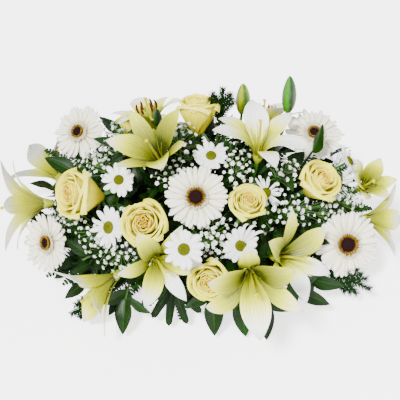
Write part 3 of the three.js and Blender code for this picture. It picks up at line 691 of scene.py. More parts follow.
def tepal(sheaf, L, angle, sort, lean, wide, tone, rng):
    """One tepal: lean is its tilt in rows, out from the bloom's axis."""
    s = np.linspace(0, 1, TEPAL_ROWS + 1)
    u = np.linspace(-1, 1, TEPAL_COLUMNS)
    r = sort["radius"] + np.append(0, np.cumsum(np.sin(lean[:-1]))) * 0.98 * L / TEPAL_ROWS
    z = sort["height"] + np.append(0, np.cumsum(np.cos(lean[:-1]))) * 0.98 * L / TEPAL_ROWS
    half = wide * sort["half"] * L * np.sin(math.pi * (0.03 + 0.97 * s**1.3)) ** 0.9
    half[-1] = 0
    sides = sort["hollow"] * half * (1 - 0.8 * s)
    wave = 0.07 * half * np.sin(10 * s + rng.uniform(0, 6)) * np.sin(math.pi * s)
    lift = sides[:, None] * np.abs(u) ** 1.6 + wave[:, None] * np.abs(u) ** 3 * np.sign(u)
    rib = np.exp(-((u / 0.13) ** 2)) - 0.6 * np.exp(-(((np.abs(u) - 0.3) / 0.14) ** 2))
    lift = lift + 0.9 * rib * (np.sin(math.pi * s) ** 0.5 * (1 - 0.5 * s))[:, None]
    grid = petal_grid(angle, u, r, z, half, lift)
    sheaf.blade(grid, 1.0, tone=tone, luck=rng.uniform(), s=s)


def lily(sheaf, plan, anthers, rng):
    """The open flower: its tepals, then its pistil with a three-part knob, and its filaments."""
    L = plan["size"]
    s = np.linspace(0, 1, TEPAL_ROWS + 1)
    yellow = np.broadcast_to(plan["yellow"], 6)
    for i in range(6):
        sort = TEPALS[i % 2]
        curl, fan = (plan.get(key, (0,) * 6)[i] for key in ("curl", "fan"))
        opening = math.radians(plan["open"] + sort["more"]) - TEPAL_LEAN
        lean = TEPAL_LEAN + opening * s**0.8 + math.radians(curl) * s**2
        tepal(sheaf, L, math.radians(60 * i + fan), sort, lean, plan.get("wide", 1.0), yellow[i], rng)
    tip = np.array([3, -2, 0.7 * L])
    style = rounded([(0, 0, 1), (1.2, -0.6, 0.3 * L), (2, -1, 0.62 * L), tip])
    swell = np.linspace(0, 1, len(style))
    sheaf.rod(style, 1.4 + 0.4 * (1 - swell) + 1.4 * np.clip(swell - 0.93, 0, 1) / 0.07, 10, PISTIL)
    for i in range(3):
        a = math.radians(120 * i)
        knob = tip + np.array([1.5 * math.cos(a), 1.5 * math.sin(a), -0.4])
        sheaf.skin(ball(knob, (1.6, 1.6, 1.5), 8, 5), PISTIL, 0.9)
    for i in range(6):
        a = math.radians(60 * i + 15)
        out = np.array([math.cos(a), math.sin(a), 0])
        top = out * 0.17 * L + np.array([0, 0, 0.52 * L])
        filament = rounded([out * 4.6 + (0, 0, 1), out * 0.08 * L + (0, 0, 0.3 * L), top])
        sheaf.rod(filament, np.linspace(0.75, 0.4, len(filament)), 6, PISTIL, 0.2)
        if anthers:
            k = np.linspace(-1, 1, 9)[:, None]
            bar = top + out * 1.8 * (1 - k * k) + k * 0.095 * L * np.array([0, 0, 1.0])
            thick = 1.7 * np.sqrt(1 - (0.97 * k[:, 0]) ** 2) + 0.2
            sheaf.rod(bar, thick, 8, ANTHER, luck=rng.uniform())
    sheaf.turned(LILY_CUP, 12, PISTIL, 0.1)


def ball(centre, radii, around, up):
    """The rings of an egg-shaped body."""
    a = np.arange(around) * 2 * math.pi / around
    lat = np.linspace(-math.pi / 2, math.pi / 2, up + 2)[1:-1]
    x, y = np.cos(lat)[:, None] * np.cos(a), np.cos(lat)[:, None] * np.sin(a)
    z = np.repeat(np.sin(lat)[:, None], around, 1)
    return np.stack([x, y, z], -1) * np.array(radii) + centre


def stand(sheaf, neck, radius, bend=STEM_BEND):
    """The bloom's own stem, from its neck down into the foam."""
    start = sheaf.turn @ np.array([0, 0, -neck]) + sheaf.at
    back = -sheaf.turn[:, 2]
    line = rounded(np.concatenate([[start - back * (neck * 0.6)], stem_line(start, back, bend)]))
    # Painted shade: the tone falls from 0.9 at the neck to 0.4 at the foot, so the stem darkens down among
    # the greens.
    tones = np.append(np.linspace(0.9, 0.4, len(line)).repeat(STEM_SIDES), [0.9, 0.4])
    sheaf.turn, sheaf.at = np.eye(3), np.zeros(3)
    sheaf.rod(line, radius, STEM_SIDES, STEM, tones)


for name, plan, sheaf, rng in planted(LILIES, LILY_LUCK):
    lily(sheaf, plan, name in WITH_ANTHERS, rng)
    stand(sheaf, LILY_NECK, LILY_STEM)
    finishes = [lily_tepal, stem_green, lily_pistil]
    if name in WITH_ANTHERS:
        finishes.append(WITH_ANTHERS[name])
    sheaf.make(name + "_bloom", finishes, "lily_tepal", name)


# The roses: a tight spiral of velvety petals, deep yellow at the heart and pale outside, whose outer
# petals roll back at the rim. Each sits on a green hip with five sepals, on its own stem.

# at is the middle of the head, size its length, and warm how far the heart's deep yellow spreads.
ROSES = {
    "rose_left": dict(at=(-154, -48, 162), face=(-64, 36), size=67, warm=0.8),
    "rose_centre_left": dict(at=(-65, -100, 163), face=(-18, 55), size=60, warm=1.0),
    "rose_centre_right": dict(at=(74, -80, 179), face=(10, 80), size=51, warm=0.5),
    "rose_right": dict(at=(175, -20, 155), face=(62, 62), size=58, warm=0.6),
    "rose_top": dict(at=(4, 74, 198), face=(180, 62), size=60, warm=0.1),
    "rose_front": dict(at=(23, -152, 108), face=(-12, 36), size=56, warm=0.5),
    "rose_back": dict(at=(-96, 136, 104), face=(-155, 34), size=58, warm=0.4),
}
ROSE_NECK = 28
ROSE_STEM = 2.7
ROSE_HIP = [(3.4, -6), (6, -4), (7.4, 0), (7.2, 3), (5.6, 5)]
ROSE_PETALS = 26
ROSE_HEART = 0.62
ROSE_SEPALS = 5
ROSE_LUCK = 200
GOLDEN = math.pi * (3 - math.sqrt(5))

rose_petal = petal_finish(
    "rose_petal",
    [(0.0, "c0b000"), (0.4, "e0d400"), (0.82, "f4ec20"), (1.0, "fcf8a4")],
    rib_count=5.0, rib_depth=0.0002, roughness=0.5, soft=0.4,
    tone_stops=[(0.0, "c8ac00"), (0.2, "e0c000"), (0.42, "ffe400"), (0.68, "fff850"), (1.0, "fffcac")],
)


def later(v, start, power=1):
    """How far v has come from start to 1, from 0 to 1."""
    return np.clip((v - start) / (1 - start), 0, 1) ** power


def rose_whorl(sheaf, H, k, warm, rng):
    """Petal k of the spiral, counted from the heart. heart and outer say how far in or out it is."""
    R, base = 0.5 * H, -ROSE_NECK
    rows, columns = 12, 13
    v = np.linspace(0, 1, rows)[:, None]
    u = np.linspace(-1, 1, columns)
    t = k / (ROSE_PETALS - 1)
    heart = max(0.0, 1 - t / ROSE_HEART)
    outer = max(0.0, (t - ROSE_HEART) / (1 - ROSE_HEART))
    angle = k * GOLDEN + rng.uniform(-0.3, 0.3)
    span = math.radians(58 + 50 * heart + 6 * outer)
    belly = R * (0.07 + 0.5 * (1 - heart) + 0.36 * outer)
    foot = R * (0.05 + 0.25 * t)
    top = H * (0.95 - 0.03 * heart - 0.07 * outer + 0.03 * rng.uniform(-1, 1))
    swell = foot + (belly - foot) * np.sin(np.minimum(v / 0.55, 1) * math.pi / 2)
    rim = (-0.1 * heart + 0.04 + 0.16 * outer) * R * later(v, 0.5, 2)
    edge = 0.06 * R * (0.3 + t) * np.abs(u) ** 3 * v**2
    tuck = 0.04 * R * u * (1 - 0.5 * outer)
    ruffle = 0.05 * heart + 0.018
    ripple = ruffle * R * np.sin((5 + 4 * heart) * u + 2.3 * k) * v**3
    radius = swell + rim + edge + tuck + ripple
    shoulder = 1 - (0.1 + 0.08 * outer) * np.abs(u) ** 2.4 * v
    rise = np.sin(v * math.pi / 2) ** 0.9
    droop = outer * 0.1 * H * later(v, 0.75, 2)
    height = base + H * 0.04 + (top - H * 0.04) * rise * shoulder - droop
    height = height + ruffle * 0.6 * R * np.cos(7 * u + 1.7 * k) * v**3
    narrow = 0.35 + 0.65 * np.sin(np.minimum(v / 0.6, 1) * math.pi / 2)
    a = angle + span * u * narrow * (1 - 0.2 * later(v, 0.8, 2))
    grid = np.stack(np.broadcast_arrays(radius * np.cos(a), radius * np.sin(a), height), -1)
    tone = np.clip(1 - heart + 0.3 * (v[:, 0] - 0.75), 0.0, 1) ** (0.5 + 0.8 * warm)
    tones = np.append(tone.repeat(columns), tone[1:-1].repeat(columns - 2))
    sheaf.blade(grid, 0.9, 0, tones, rng.uniform())


def rose(sheaf, H, warm, rng):
    """The whole head: its spiral round a core, its hip, and the sepals that hang from it."""
    R, base = 0.5 * H, -ROSE_NECK
    for k in range(ROSE_PETALS):
        rose_whorl(sheaf, H, k, warm, rng)
    core = ((0.2, 0.1), (0.24, 0.5), (0.1, 0.8), (0.03, 0.9))
    sheaf.turned([(r * R, base + H * z) for r, z in core], 10, 0, 0.0)
    sheaf.turned([(r, base + z) for r, z in ROSE_HIP], 12, STEM, 0.7)
    s = np.linspace(0, 1, 9)
    u = np.linspace(-1, 1, 5)
    for i in range(ROSE_SEPALS):
        out = 6.5 + s * 0.52 * R + 2 * np.sin(3 * s)
        down = base + 2 - 9 * s**1.4 + 2.4 * np.sin(4 * s + i)
        half = 4.4 * (1 - s) ** 0.8 * (0.6 + s)
        half[-1] = 0
        angle = math.radians(360 * i / ROSE_SEPALS)
        grid = petal_grid(angle, u, out, down, half, 0.25 * half[:, None] * np.abs(u))
        sheaf.blade(grid, 0.7, STEM, 0.6, rng.uniform(), s)


for name, plan, sheaf, rng in planted(ROSES, ROSE_LUCK):
    rose(sheaf, plan["size"], plan["warm"], rng)
    stand(sheaf, ROSE_NECK, ROSE_STEM)
    sheaf.make(name + "_bloom", [rose_petal, stem_green], "rose_petal", name)


# The gerberas: two rows of blunt cream-white rays, an inner ring of short ones with a peach base, and
# a near-black eye of packed florets inside a ring of golden stamens. A green cup of sepals holds
# them on a bare stem.

# at is the middle of the head, size its radius, cup how far its rays bend up round the eye, and eye
# how wide the eye has opened.
GERBERAS = {
    "gerbera_centre": dict(at=(2, -82, 199), face=(0, 54), size=46),
    "gerbera_front_right": dict(at=(221, -79, 89), face=(12, 46), size=52),
    "gerbera_front_left": dict(at=(-216, -76, 89), face=(-50, 34), size=46, cup=8, eye=0.8),
    "gerbera_back_left": dict(at=(-173, 74, 164), face=(-45, 56), size=44, eye=0.8),
    "gerbera_back_right": dict(at=(178, 74, 160), face=(20, 80), size=46, eye=0.8),
    "gerbera_back": dict(at=(8, 158, 88), face=(180, 30), size=45),
}
GERBERA_NECK = 6
GERBERA_STEM = 2.5
GERBERA_CUP = [(3, -6), (8, -4), (9.5, -1.5), (8, 0)]
GERBERA_DOME = [(0.26, 0.0), (0.24, 0.08), (0.19, 0.13), (0.14, 0.16), (0.08, 0.15), (0.03, 0.14)]
GERBERA_RAYS = 20
GERBERA_INNER_RAYS = 64
GERBERA_STAMENS = 56
GERBERA_FLORETS = 100
GERBERA_SEPALS = 16
GERBERA_LUCK = 300
EYE, STAMEN = 2, 3

gerbera_ray = petal_finish(
    "gerbera_ray",
    [(0.0, "d8b060"), (0.16, "f0dca0"), (0.36, "faf4d0"), (1.0, "fdfbee")],
    rib_count=3.0, rib_depth=0.0006, roughness=0.4, edge_shade=0.75,
)
gerbera_eye = pollen_finish("gerbera_eye", "040102", "1c0406", 1200.0)
gerbera_stamen = pollen_finish("gerbera_stamen", "180a02", "946c14", 900.0)


def ray_outline(s, blunt):
    """The half width of a strap-shaped ray along its length, at most 1, with a blunt round tip."""
    end = np.clip((s - blunt) / (1 - blunt), 0, 1)
    half = np.minimum(1, 0.42 + 1.1 * s) * np.sqrt(np.maximum(1 - end**2.3, 0))
    half[-1] = 0
    return half


def florets_on(sheaf, count, radius, height, size, rng):
    """Small pointed florets packed on a domed eye in the order in which they grow."""
    for i in range(count):
        r = radius * math.sqrt((i + 0.5) / count)
        a = i * GOLDEN
        foot = np.array([r * math.cos(a), r * math.sin(a), height(r) - 0.4 * size])
        lean = np.array([0.35 * math.cos(a) * r / radius, 0.35 * math.sin(a) * r / radius, 1.0])
        path = [foot, foot + lean * size * 0.9, foot + lean * size * 1.5]
        sheaf.rod(path, [0.42 * size, 0.46 * size, 0.08 * size], 5, EYE, 0.5, rng.uniform())


def gerbera_ray_row(sheaf, R, cup, layer, rng):
    """One row of long rays. The lower row lies between the rays of the upper one."""
    s = 1 - (1 - np.linspace(0, 1, 11)) ** 1.6
    u = np.linspace(-1, 1, 7)
    groove = 0.05 * np.cos(3 * math.pi * u) - 0.32 * u**2
    for i in range(GERBERA_RAYS):
        a = 2 * math.pi * (i + 0.5 * layer + rng.uniform(-0.14, 0.14)) / GERBERA_RAYS
        reach = R * ((0.91 if i % 2 else 1.0) if layer == 0 else 0.96) * rng.uniform(0.92, 1.02)
        r = 0.16 * R + (reach - 0.16 * R) * s
        sag = rng.uniform(-0.07, 0.06) * R
        z = 0.0016 * r**2 - 1 - 2.4 * layer - sag * s**2 + 0.03 * R * np.sin(math.pi * s)
        z = z + cup * ((r / R) ** 2 - 0.6)
        half = 0.1 * R * rng.uniform(0.76, 1.06) * ray_outline(s, 0.7)
        grid = petal_grid(a, u, r, z, half, half[:, None] * groove + 0.03 * R * (1 - s[:, None]))
        grid[..., 2] += rng.uniform(-0.3, 0.3) * half[:, None] * u * s[:, None] * 2
        sheaf.blade(grid, 0.7, luck=rng.uniform(), s=s)


def gerbera(sheaf, R, cup, eye, rng):
    """The whole head, from its long rays in to its eye, and then the green cup behind it."""
    for layer in (0, 1):
        gerbera_ray_row(sheaf, R, cup, layer, rng)
    sheaf.at = sheaf.at - sheaf.turn[:, 2] * 0.5 * cup
    q = np.linspace(0, 1, 5)
    u = np.linspace(-1, 1, 3)
    for i in range(GERBERA_INNER_RAYS):
        a = 2 * math.pi * (i + rng.uniform(-0.3, 0.3)) / GERBERA_INNER_RAYS
        reach = R * rng.uniform(0.34, 0.44)
        r = 0.24 * eye * R + (reach - 0.24 * eye * R) * q
        z = 0.08 * R + R * rng.uniform(0.03, 0.1) * np.sin(2.2 * q)
        half = 0.022 * R * ray_outline(q, 0.6)
        grid = petal_grid(a, u, r, z, half, 0.3 * half[:, None] * np.ones(3))
        sheaf.blade(grid, 0.5, luck=rng.uniform(), s=0.15 + 0.5 * q)
    up = np.array([0, 0, R])
    for i in range(GERBERA_STAMENS):
        a = 2 * math.pi * i / GERBERA_STAMENS + rng.uniform(-0.05, 0.05)
        out = np.array([math.cos(a), math.sin(a), 0])
        foot = out * (0.2 if i % 2 else 0.23) * eye * R + 0.1 * up
        bend = foot + out * 0.03 * eye**4 * R + 0.07 * up
        tip = bend + out * 0.06 * eye**4 * R * rng.uniform(0.3, 1.3) + 0.03 * up
        sheaf.rod([foot, bend, tip], [0.013 * R, 0.013 * R, 0.017 * R], 5, STAMEN, 0.5, rng.uniform())
    sheaf.turned([(r * eye * R, z * R) for r, z in GERBERA_DOME], 20, EYE)
    florets_on(sheaf, GERBERA_FLORETS, 0.18 * eye * R, lambda r: 0.14 * R, 0.023 * R, rng)
    sheaf.turned(GERBERA_CUP, 16, STEM, 0.6)
    for i in range(2 * GERBERA_SEPALS):
        layer, number = divmod(i, GERBERA_SEPALS)
        a = 2 * math.pi * (number + 0.5 * layer) / GERBERA_SEPALS
        height = -5 + 1.4 * q + 1.2 * layer
        grid = petal_grid(a, u, 6 + 6 * q, height, 1.5 * (1 - q**1.6), np.zeros((5, 3)))
        sheaf.blade(grid, 0.6, STEM, 0.5, rng.uniform(), q)


for name, plan, sheaf, rng in planted(GERBERAS, GERBERA_LUCK):
    gerbera(sheaf, plan["size"], plan.get("cup", 0), plan.get("eye", 1.0), rng)
    stand(sheaf, GERBERA_NECK, GERBERA_STEM)
    finishes = [gerbera_ray, stem_green, gerbera_eye, gerbera_stamen]
    sheaf.make(name + "_bloom", finishes, "gerbera_petal", name)


# The spray daisies: white strap rays in two loose rows round an olive-green eye of packed florets.
# Each is one flower of a spray, cut off and stood in the foam on its own thin stem.

# at is the middle of the head, size its radius, bend how soon its stem turns down, wide the breadth
# of its rays, and wisps the directions in degrees of a few thin ones that curl up.
DAISIES = {
    "daisy_left": dict(at=(-106, -44, 191), face=(-10, 62), size=24),
    "daisy_front_left": dict(at=(-120, -97, 151), face=(-50, 42), size=30, wide=0.85),
    "daisy_centre": dict(at=(-14, -155, 177), face=(-14, 50), size=28, bend=12),
    "daisy_top": dict(at=(23, -12, 206), face=(10, 80), size=25),
    "daisy_right": dict(at=(101, -46, 166), face=(24, 58), size=24, wide=0.55),
    "daisy_front_right": dict(at=(64, -125, 146), face=(0, 48), size=27, wisps=(84, 66, 42)),
    "daisy_far_right": dict(at=(230, 38, 140), face=(95, 35), size=25),
    "daisy_back": dict(at=(90, 148, 92), face=(155, 36), size=27),
}
DAISY_NECK = 4
DAISY_STEM = 1.8
DAISY_CUP = [(2, -4), (5, -2.4), (6, -0.8), (5, 0.2)]
DAISY_DOME = [(0.31, -1), (0.31, 1), (0.27, 2.6), (0.17, 3.6), (0.04, 4.1)]
DAISY_RAYS = (13, 9)
DAISY_FLORETS = 96
DAISY_LUCK = 400

daisy_ray = petal_finish(
    "daisy_ray",
    [(0.0, "d9deb4"), (0.2, "f0f1ea"), (1.0, "f6f6f8")],
    rib_count=2.0, rib_depth=0.0004, roughness=0.5,
)
daisy_eye = pollen_finish("daisy_eye", "101400", "646800", 1500.0)


def sheet(line, half, u, aside, lift, up):
    """The points of a leaf along a line: half is its half width in rows, aside its way across, and
    lift how far each point rises along up."""
    return line[:, None] + (half[:, None] * u)[..., None] * aside + lift[..., None] * up


def daisy(sheaf, R, wide, wisps, rng):
    """The whole head: its rays, any wisps, its eye and the green cup behind it."""
    s = 1 - (1 - np.linspace(0, 1, 9)) ** 1.4
    u = np.linspace(-1, 1, 7)
    bow = -0.3 * u**2 + 0.06 * np.cos(3 * math.pi * u)
    for layer, count in enumerate(DAISY_RAYS):
        for i in range(count):
            a = 2 * math.pi * (i + 0.4 * layer + rng.uniform(-0.2, 0.2)) / count
            reach = R * (1.04 if i % 3 else 0.92) * rng.uniform(0.86, 1.04)
            r = 0.12 * R + (reach - 0.12 * R) * s
            rise = rng.uniform(-0.1, 0.08) * R
            z = 0.003 * r**2 + (-1.3 if layer else 0.4) + rise * s**2
            half = 0.165 * R * wide * rng.uniform(0.8, 1.08) * ray_outline(s, 0.62)
            grid = petal_grid(a, u, r, z, half, half[:, None] * bow)
            grid[..., 2] += rng.uniform(-0.3, 0.3) * half[:, None] * u * s[:, None]
            sheaf.blade(grid, 0.6, luck=rng.uniform(), s=s)
    for i, turn in enumerate(wisps):
        r = 0.12 * R + (1.3 + 0.1 * i) * R * s * (1 - 0.18 * s**6)
        z = 2 + 0.1 * R * s + 0.3 * R * s**3
        half = 0.075 * R * ray_outline(s, 0.8)
        hook = math.radians(turn) - 0.25 * s**4
        line = np.stack([r * np.cos(hook), r * np.sin(hook), z], 1)
        aside = np.stack([-np.sin(hook), np.cos(hook), 0 * s], 1)[:, None]
        grid = sheet(line, half, u, aside, 0.3 * half[:, None] * u * u, np.array([0, 0, 1.0]))
        sheaf.blade(grid, 0.6, s=s)
    sheaf.turned([(share * R, z) for share, z in DAISY_DOME], 14, EYE)
    florets_on(sheaf, DAISY_FLORETS, 0.29 * R, lambda r: 4.2 - 0.05 * r * r, 0.036 * R, rng)
    sheaf.turned(DAISY_CUP, 12, STEM, 0.6)


for name, plan, sheaf, rng in planted(DAISIES, DAISY_LUCK):
    daisy(sheaf, plan["size"], plan.get("wide", 1.0), plan.get("wisps", ()), rng)
    stand(sheaf, DAISY_NECK, DAISY_STEM, plan.get("bend", STEM_BEND))
    sheaf.make(name + "_bloom", [daisy_ray, stem_green, daisy_eye], "daisy_petal", name)


# The lily buds: three fat tepals still closed over the rest, ridged along their backs, on the end of
# a stem that stands higher in the foam than the open lilies' stems.

# at is the middle of the bud, size its length, and skin its colours, dark and light.
BUDS = {
    "bud_tall": dict(at=(137, 90, 226), face=(180, 80), size=66, skin=("062800", "388000")),
    "bud_yellow": dict(at=(70, 94, 214), face=(0, 86), size=66, skin=("2c6000", "98a400")),
    "bud_small": dict(at=(-54, 50, 220), face=(0, 84), size=40, skin=("031400", "144000")),
}
BUD_NECK = 26
BUD_STEM = 2
BUD_GIRTH = 0.156


def bud_finish(name, dark, light):
    """Bud skin: each tepal dark along its back and pale along its seams."""
    finish = Finish(name)
    seam = finish.calc("COSINE", finish.calc("MULTIPLY", finish.spot()[0], 6 * math.pi))
    patches = finish.use(mottle, Size=150.0, Amount=0.8)
    where = finish.calc("MULTIPLY_ADD", seam, 0.35, patches)
    finish.wear(
        Base_Color=finish.ramp(where, (0.2, dark), (0.85, light)),
        Roughness=finish.calc("MULTIPLY_ADD", patches, 0.2, 0.3),
    )
    finish.relief(finish.use(length_ribs, Count=24.0), 0.0002)
    return finish.material


for name, plan, sheaf, _ in planted(BUDS):
    H = plan["size"]
    up = np.linspace(0.02, 0.99, 20)[:, None]
    a = np.arange(36) * 2 * math.pi / 36
    girth = BUD_GIRTH * H * np.sin(math.pi * up**0.85) ** 0.62
    ridge = 1 + 0.07 * np.cos(3 * a) + 0.03 * np.cos(6 * a)
    rings = (girth * ridge * np.cos(a), girth * ridge * np.sin(a), (up - 0.5) * H)
    sheaf.skin(np.stack(np.broadcast_arrays(*rings), -1))
    stand(sheaf, BUD_NECK, BUD_STEM)
    sheaf.make(name + "_bloom", [bud_finish(name + "_skin", *plan["skin"]), stem_green], "bud_green", name)


# The leafy stems: sprays of dark, glossy pointed leaves on green twigs, some hanging over the tray's
# edge. Each has one foot in the foam and forks above it.

# The first number is a leaf's length. A stem is the x, y and z of its end, and the azimuth and the
# elevation that it heads along there. The ferns, firs and the lobed leaf are given in the same way.
LEAVES = {
    "leaves_front": (58, (26, -150, 54, 4, -38), (64, -152, 52, 14, -40), (98, -150, 44, 10, -34)),
    "leaves_front_left": (
        54, (-100, -146, 46, -8, -28), (-162, -104, 84, -64, -10), (-92, -84, 132, -60, 14)
    ),
    "leaves_front_right": (
        54, (168, -118, 60, 70, -6), (150, -130, 50, 58, -10), (98, -92, 134, 0, 44)
    ),
    "leaves_left": (54, (-180, 24, 130, -115, 18), (-104, -30, 158, 40, 10), (-186, 60, 132, -112, 8)),
    "leaves_top_left": (
        54, (-112, 80, 146, -139, 20), (-100, 24, 178, -100, 30), (-20, 30, 196, 140, 30)
    ),
    "leaves_top_right": (54, (172, 30, 170, 117, 66), (136, -8, 172, 80, 20), (206, 20, 136, 84, 10)),
    "leaves_back": (58, (46, 140, 56, 172, -34), (-44, 142, 54, -170, -32), (120, 128, 62, 140, -24)),
}
LEAVES_A_STEM = 3
LEAF_WIDTH = 0.24
SIDE_LEAF = 0.86
SIDE_WIDTH = 0.21
LEAF_DROOP = 0.16
LEAF_SEAT = 3
LEAF_BEND = 24
LEAF_STEM = 1.7
FORK_REACH = 0.64
SAME_POINT = 0.2
LEAF_LUCK = 500
SWAYS = [(x, z) for x in (0, 9, -9, 18, -18, 27, -27) for z in (0, 8, -8, 16, -16, 24)]
PILLOW = np.array([255, 160, 180])
PILLOW_FOOT = 35


def cad_points(name):
    """The corners of a CAD node, in millimetres, ready to be looked up."""
    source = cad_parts[name]
    found = KDTree(len(source.data.vertices))
    for i, corner in enumerate(source.data.vertices):
        found.insert(source.matrix_world @ corner.co / MM, i)
    found.balance()
    return found


def outward(p, d=np.zeros(3)):
    """The pillow's outward direction at a point, made square to a heading. The pillow is taken as
    the top of an egg shape."""
    n = unit(np.array([p[0], p[1], max(p[2] - PILLOW_FOOT, 20)]) / PILLOW**2)
    return unit(n - d * n.dot(d))


def bowed(base, d, n, length, droop, s):
    """Points on a rib that starts at its base along d, and droops against n towards its tip."""
    s = np.asarray(s)[..., None]
    return base + d * length * s - n * droop * length * s * s


def grows(corners, base, d, length, droop):
    """Whether the CAD node has this leaf, which it leaves out where a bloom is in its way."""
    tip = bowed(base, d, outward(base, d), length, droop, 1)
    return corners.find(Vector(tip))[2] < SAME_POINT


def forked(corners, ends, bend):
    """The lines of stems that fork from the first one, each swayed as the CAD stem is. An end is a
    stem's last point and the way that it heads there."""
    lines = []
    for start, way in ends:

        def line_for(sway):
            if not lines:
                return stem_line(start, -way, bend, sway)
            return np.array([start, start - way * bend + (sway[0], 0, sway[1]), lines[0][2]])

        def miss(sway):
            turn = Vector(line_for(sway)[1])
            near = [co for co, _, _ in corners.find_n(turn, 3)]
            return (sum(near, Vector()) / 3 - turn).length

        lines.append(line_for(min(SWAYS, key=miss)))
    return lines


def greens(plans, luck):
    """Each plant of a kind: its name, size and stems, an empty sheaf, the corners of its CAD node,
    and its own luck."""
    for number, (name, (size, *stems)) in enumerate(plans.items()):
        yield name, size, stems, Sheaf(), cad_points(name), np.random.default_rng(luck + number)


def shoots(sheaf, corners, stems, bend=LEAF_BEND, radius=LEAF_STEM):
    """Grows the stems of a plant, and gives for each one its line, and the base and the heading of
    the leaf on its end."""
    ends = [(np.array(stem[:3], float), heading(*stem[3:])) for stem in stems]
    for (end, d), line in zip(ends, forked(corners, ends, bend)):
        sheaf.rod(rounded(line), radius, 8, STEM)
        yield line, end - LEAF_SEAT * d, d


def leaf(sheaf, base, d, length, half, rng, rows=11, columns=7):
    """A pointed leaf, folded a little along its midrib, waved at its edges, and drooping."""
    n = outward(base, d)
    s = np.linspace(0, 1, rows)
    u = np.linspace(-1, 1, columns)
    wide = half * np.sin(math.pi * s**0.78) ** 0.85
    wide[0] = wide[-1] = 0
    wave = 0.12 * np.sin(9 * s + rng.uniform(0, 6)) * rng.uniform(0.3, 1)
    lift = wide[:, None] * (0.26 * np.abs(u) ** 0.8 + wave[:, None] * u * np.abs(u))
    grid = sheet(bowed(base, d, n, length, LEAF_DROOP, s), wide, u, np.cross(n, d), lift, n)
    sheaf.blade(grid, 0.8, 0, rng.uniform(0.3, 0.7), rng.uniform(), s)


def leaf_veins_effect():
    """A leaf's midrib and the side veins that run forward from it: Pairs is how many, Lean how far
    they sweep to the tip. Ridge is 1 on the midrib."""
    nodes, given, ridge = effect("leaf_veins", "Ridge", Pairs=7.0, Lean=0.3)
    calc = nodes.calc
    across, along = nodes.spot()
    across = calc("ABSOLUTE", calc("SUBTRACT", across, 0.5))
    swept = calc("MULTIPLY", across, calc("MULTIPLY", given["Lean"], 2.0))
    pair = calc("MULTIPLY", calc("SUBTRACT", along, swept), given["Pairs"])
    saw = calc("ABSOLUTE", calc("SUBTRACT", calc("FRACT", pair), 0.5))
    side = calc("LESS_THAN", calc("SUBTRACT", 0.5, saw), 0.09)
    middle = calc("LESS_THAN", across, 0.035)
    nodes.feed(ridge, calc("MAXIMUM", calc("MULTIPLY", side, 0.55), middle))
    return nodes.tree


leaf_veins = leaf_veins_effect()


def leaf_finish(name, dark, light, vein, roughness, pairs, lean, patch_size):
    """Waxy green leaf skin, with pale veins and patches of light and dark leaves."""
    finish = Finish(name)
    patches = finish.use(mottle, Size=patch_size, Amount=1.2)
    luck = finish.calc("MULTIPLY", finish.grown("luck"), 0.6)
    where = finish.calc("ADD", luck, finish.calc("MULTIPLY", patches, 0.5))
    base = finish.ramp(where, (0.15, dark), (0.95, light))
    ridge = finish.use(leaf_veins, Pairs=pairs, Lean=lean)
    finish.wear(
        Base_Color=finish.blend(finish.calc("MULTIPLY", ridge, 0.4), base, colour(vein)),
        Roughness=finish.calc("MULTIPLY_ADD", patches, 0.25, roughness),
        Specular_IOR_Level=0.16,
    )
    finish.relief(ridge, 0.0004, 0.6)
    return finish.material


leaf_green = leaf_finish("leaf_green", "010500", "0e3000", "285408", 0.3, 8.0, 0.35, 60.0)
twig_green = green_finish("twig_green", "0c2404", "345c10")

for name, size, stems, sheaf, corners, rng in greens(LEAVES, LEAF_LUCK):
    for line, base, d in shoots(sheaf, corners, stems):
        if grows(corners, base, d, size, LEAF_DROOP):
            leaf(sheaf, base, d, size, LEAF_WIDTH * size, rng)
        for i in range(1, LEAVES_A_STEM):
            fork = line[0] + (line[1] - line[0]) * FORK_REACH * i / (LEAVES_A_STEM - 1)
            side = np.cross(outward(fork, d), d) * (1 if i % 2 else -1)
            way = unit(0.6 * d + 0.8 * side)
            if grows(corners, fork, way, SIDE_LEAF * size, LEAF_DROOP):
                leaf(sheaf, fork, way, SIDE_LEAF * size, SIDE_WIDTH * size, rng)
    sheaf.make(name + "_spray", [leaf_green, twig_green], "leaf_green", name)


# The ferns: triangular fronds, each a dark rib with pairs of toothed leaflets that shorten to its
# tip. They stand out low round the tray and hide it.
FERNS = {
    "fern_left": (124, (-178, -34, 78, -84, -6), (-172, -84, 70, -58, -8)),
    "fern_back_left": (120, (-178, 34, 74, -100, -6), (-150, 88, 66, -140, -12)),
    "fern_back_right": (120, (178, 36, 76, 102, -6), (152, 90, 66, 140, -12)),
    "fern_right": (112, (178, 4, 78, 92, -6), (176, -66, 72, 66, -8)),
}
FERN_PAIRS = 22
FERN_WIDTH = 0.3
FERN_DROOP = 0.14
FERN_BEND = 8
FERN_LUCK = 540
LEAFLET_TEETH = np.array([0, 0.95, 0.7, 1.0, 0.66, 0.85, 0.5, 0.6, 0])


